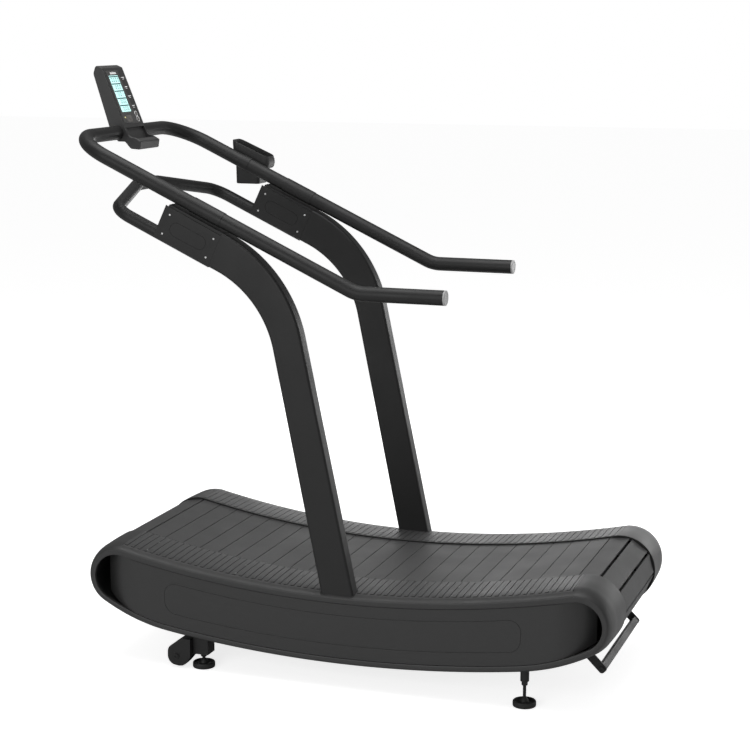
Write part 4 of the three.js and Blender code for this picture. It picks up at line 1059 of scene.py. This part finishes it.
# ---------- bottle holder ----------
def build_holder():
    near, far = HOLDER_Y

    def ring(x0, x1, z0, z1, inset, radius):
        """A rounded rectangle in plan whose height runs from z0 at x0 to z1 at x1."""
        flat = box_outline(x0 + inset, x1 - inset, near + inset, far - inset, max(radius, 1), 8)
        z = z0 + (flat[:, 0] - x0) / (x1 - x0) * (z1 - z0)
        return np.stack([flat[:, 0], flat[:, 1], z], 1)

    rings = [
        ring(-650, -566, 1428, 1428, 3, 8), ring(-650, -566, 1429, 1429, 0.9, 10),
        ring(-650, -566, 1432, 1432, 0, 11), ring(-651, -565, 1490, 1484, 0, 11),
        ring(-652, -540, 1496, 1478, 4, 12), ring(-654, -538, 1499, 1481, 1.2, 15),
        ring(-656, -536, 1504, 1486, 0, 16), ring(-662, -533, 1534, 1497, 0, 17),
        ring(-664, -534, 1560, 1508, 0, 17), ring(-664, -537, 1571, 1516, 0, 17),
        ring(-664, -537, 1573.4, 1518, 0.6, 16.4), ring(-664, -537, 1574, 1518.6, 1.5, 15.5),
        ring(-664, -537, 1573.4, 1518, 2.6, 14.4), ring(-664, -537, 1570, 1515, 3.2, 13.8),
        ring(-656, -538, 1510, 1491, 3.4, 12), ring(-653, -545, 1500, 1486, 5.5, 10),
        ring(-650, -566, 1492, 1490, 3.2, 9), ring(-650, -566, 1434, 1434, 3.4, 8),
    ]
    piece("holder_shell", Shape().loft(rings), MOULDED, ["bottle_holder"], sharp=45)
    axis = np.array([math.cos(SLOPE), 0, -math.sin(SLOPE)])
    centre = [CLAMP_X, BAR_Y, slope_z(BAR_Q, CLAMP_X)]
    r = BAR_R + 0.3
    band = [(r, -15), (r + 0.6, -14.9), (r + 1.0, -14.4), (r + 1.0, 14.4), (r + 0.6, 14.9), (r, 15)]
    piece("holder_clamp", Shape().turned(band, centre, axis, 56), COAT, ["holder_strap"])


# ---------- CAD nodes that stay ----------
def finish_cad_nodes():
    kept = {
        "side_frame": COAT, "cross_beam": COAT, "belly_pan": PLASTIC, "drum": STEEL, "axle": STEEL,
        "bearing": STEEL, "roller_rail": STEEL,
    }
    for name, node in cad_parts.items():
        if node.hide_render:
            continue
        found = [material for key, material in kept.items() if key in name]
        node.data.materials.clear()
        node.data.materials.append(found[-1] if found else COAT)


# ---------- stage ----------
def add_light(name, place, target, size, power):
    data = bpy.data.lights.new(name, "AREA")
    data.shape = "RECTANGLE"
    data.size, data.size_y = size
    data.energy = power
    lamp = bpy.data.objects.new(name, data)
    bpy.context.scene.collection.objects.link(lamp)
    start = np.array(place) * MM + ORIGIN
    lamp.location = start
    aim = np.array(target) * MM + ORIGIN - start
    pitch = math.atan2(aim[2], math.hypot(aim[0], aim[1]))
    lamp.rotation_euler = (math.pi / 2 + pitch, 0, math.atan2(aim[1], aim[0]) - math.pi / 2)
    return lamp


CAMERA_PLACE = np.array([1865.8, -5361.2, 1955.7])
CAMERA_DOWN = 10.68
CAMERA_ASIDE = 19.36
LENS = 89.57
WORLD_LIGHT = 0.26
FLOOR_HALF = 30.0
LIGHTS = (
    ("overhead", (-300, -300, 4300), (0, 0, 300), (3.0, 3.0), 100),
    ("front", (-1200, -5200, 2000), (0, 0, 700), (3.0, 2.4), 84),
    ("far_side", (300, 3800, 900), (0, 0, 300), (5.0, 0.9), 55),
    ("rear_low", (2600, 900, 500), (800, 0, 250), (1.8, 1.2), 8),
)


def build_stage():
    scene = bpy.context.scene
    camera = bpy.data.objects.new("camera", bpy.data.cameras.new("camera"))
    scene.collection.objects.link(camera)
    camera.data.sensor_width = 36
    camera.data.lens = LENS
    camera.data.clip_end = 60
    camera.location = CAMERA_PLACE * MM + ORIGIN
    camera.rotation_euler = (math.radians(90 - CAMERA_DOWN), 0, math.radians(CAMERA_ASIDE))
    scene.camera = camera
    scene.view_settings.view_transform = "Standard"

    world = bpy.data.worlds.new("studio")
    world.use_nodes = True
    scene.world = world
    nodes, links = world.node_tree.nodes, world.node_tree.links
    background = nodes["Background"]
    path = nodes.new("ShaderNodeLightPath")
    strength = nodes.new("ShaderNodeMapRange")
    strength.inputs["To Min"].default_value = WORLD_LIGHT
    strength.inputs["To Max"].default_value = 1.0
    links.new(path.outputs["Is Camera Ray"], strength.inputs["Value"])
    links.new(strength.outputs["Result"], background.inputs["Strength"])
    background.inputs["Color"].default_value = (1, 1, 1, 1)

    for light in LIGHTS:
        add_light(*light)

    floor = bpy.data.meshes.new("floor")
    corners = [(x * FLOOR_HALF, y * FLOOR_HALF) for x, y in ((-1, -1), (1, -1), (1, 1), (-1, 1))]
    floor.from_pydata([(x, y, -0.0005) for x, y in corners], [], [(0, 1, 2, 3)])
    paper = bpy.data.materials.new("floor_paper")
    paper.use_nodes = True
    nodes, links = paper.node_tree.nodes, paper.node_tree.links
    shader = nodes["Principled BSDF"]
    shader.inputs["Base Color"].default_value = (0.75, 0.75, 0.75, 1)
    shader.inputs["Roughness"].default_value = 0.9
    shader.inputs["Specular IOR Level"].default_value = 0.1
    shader.inputs["Emission Color"].default_value = (1, 1, 1, 1)
    path = nodes.new("ShaderNodeLightPath")
    glow = nodes.new("ShaderNodeMapRange")
    glow.inputs["To Min"].default_value = 0.05
    glow.inputs["To Max"].default_value = 0.78
    links.new(path.outputs["Is Camera Ray"], glow.inputs["Value"])
    links.new(glow.outputs["Result"], shader.inputs["Emission Strength"])
    floor.materials.append(paper)
    ground = bpy.data.objects.new("floor", floor)
    scene.collection.objects.link(ground)


# ---------- assembly ----------
build_stage()
for side_name, side_sign in SIDES:
    build_cover(side_name, side_sign)
    build_panel(side_name, side_sign)
    build_rail(side_name, side_sign)
    build_upright(side_name, side_sign)
    build_plates(side_name, side_sign)
    build_wheel(side_name, side_sign)
    for end_name in FEET:
        build_foot(end_name, side_name, side_sign)
build_belt()
build_bars()
build_lift_handle()
build_housing()
build_face()
build_holder()
finish_cad_nodes()
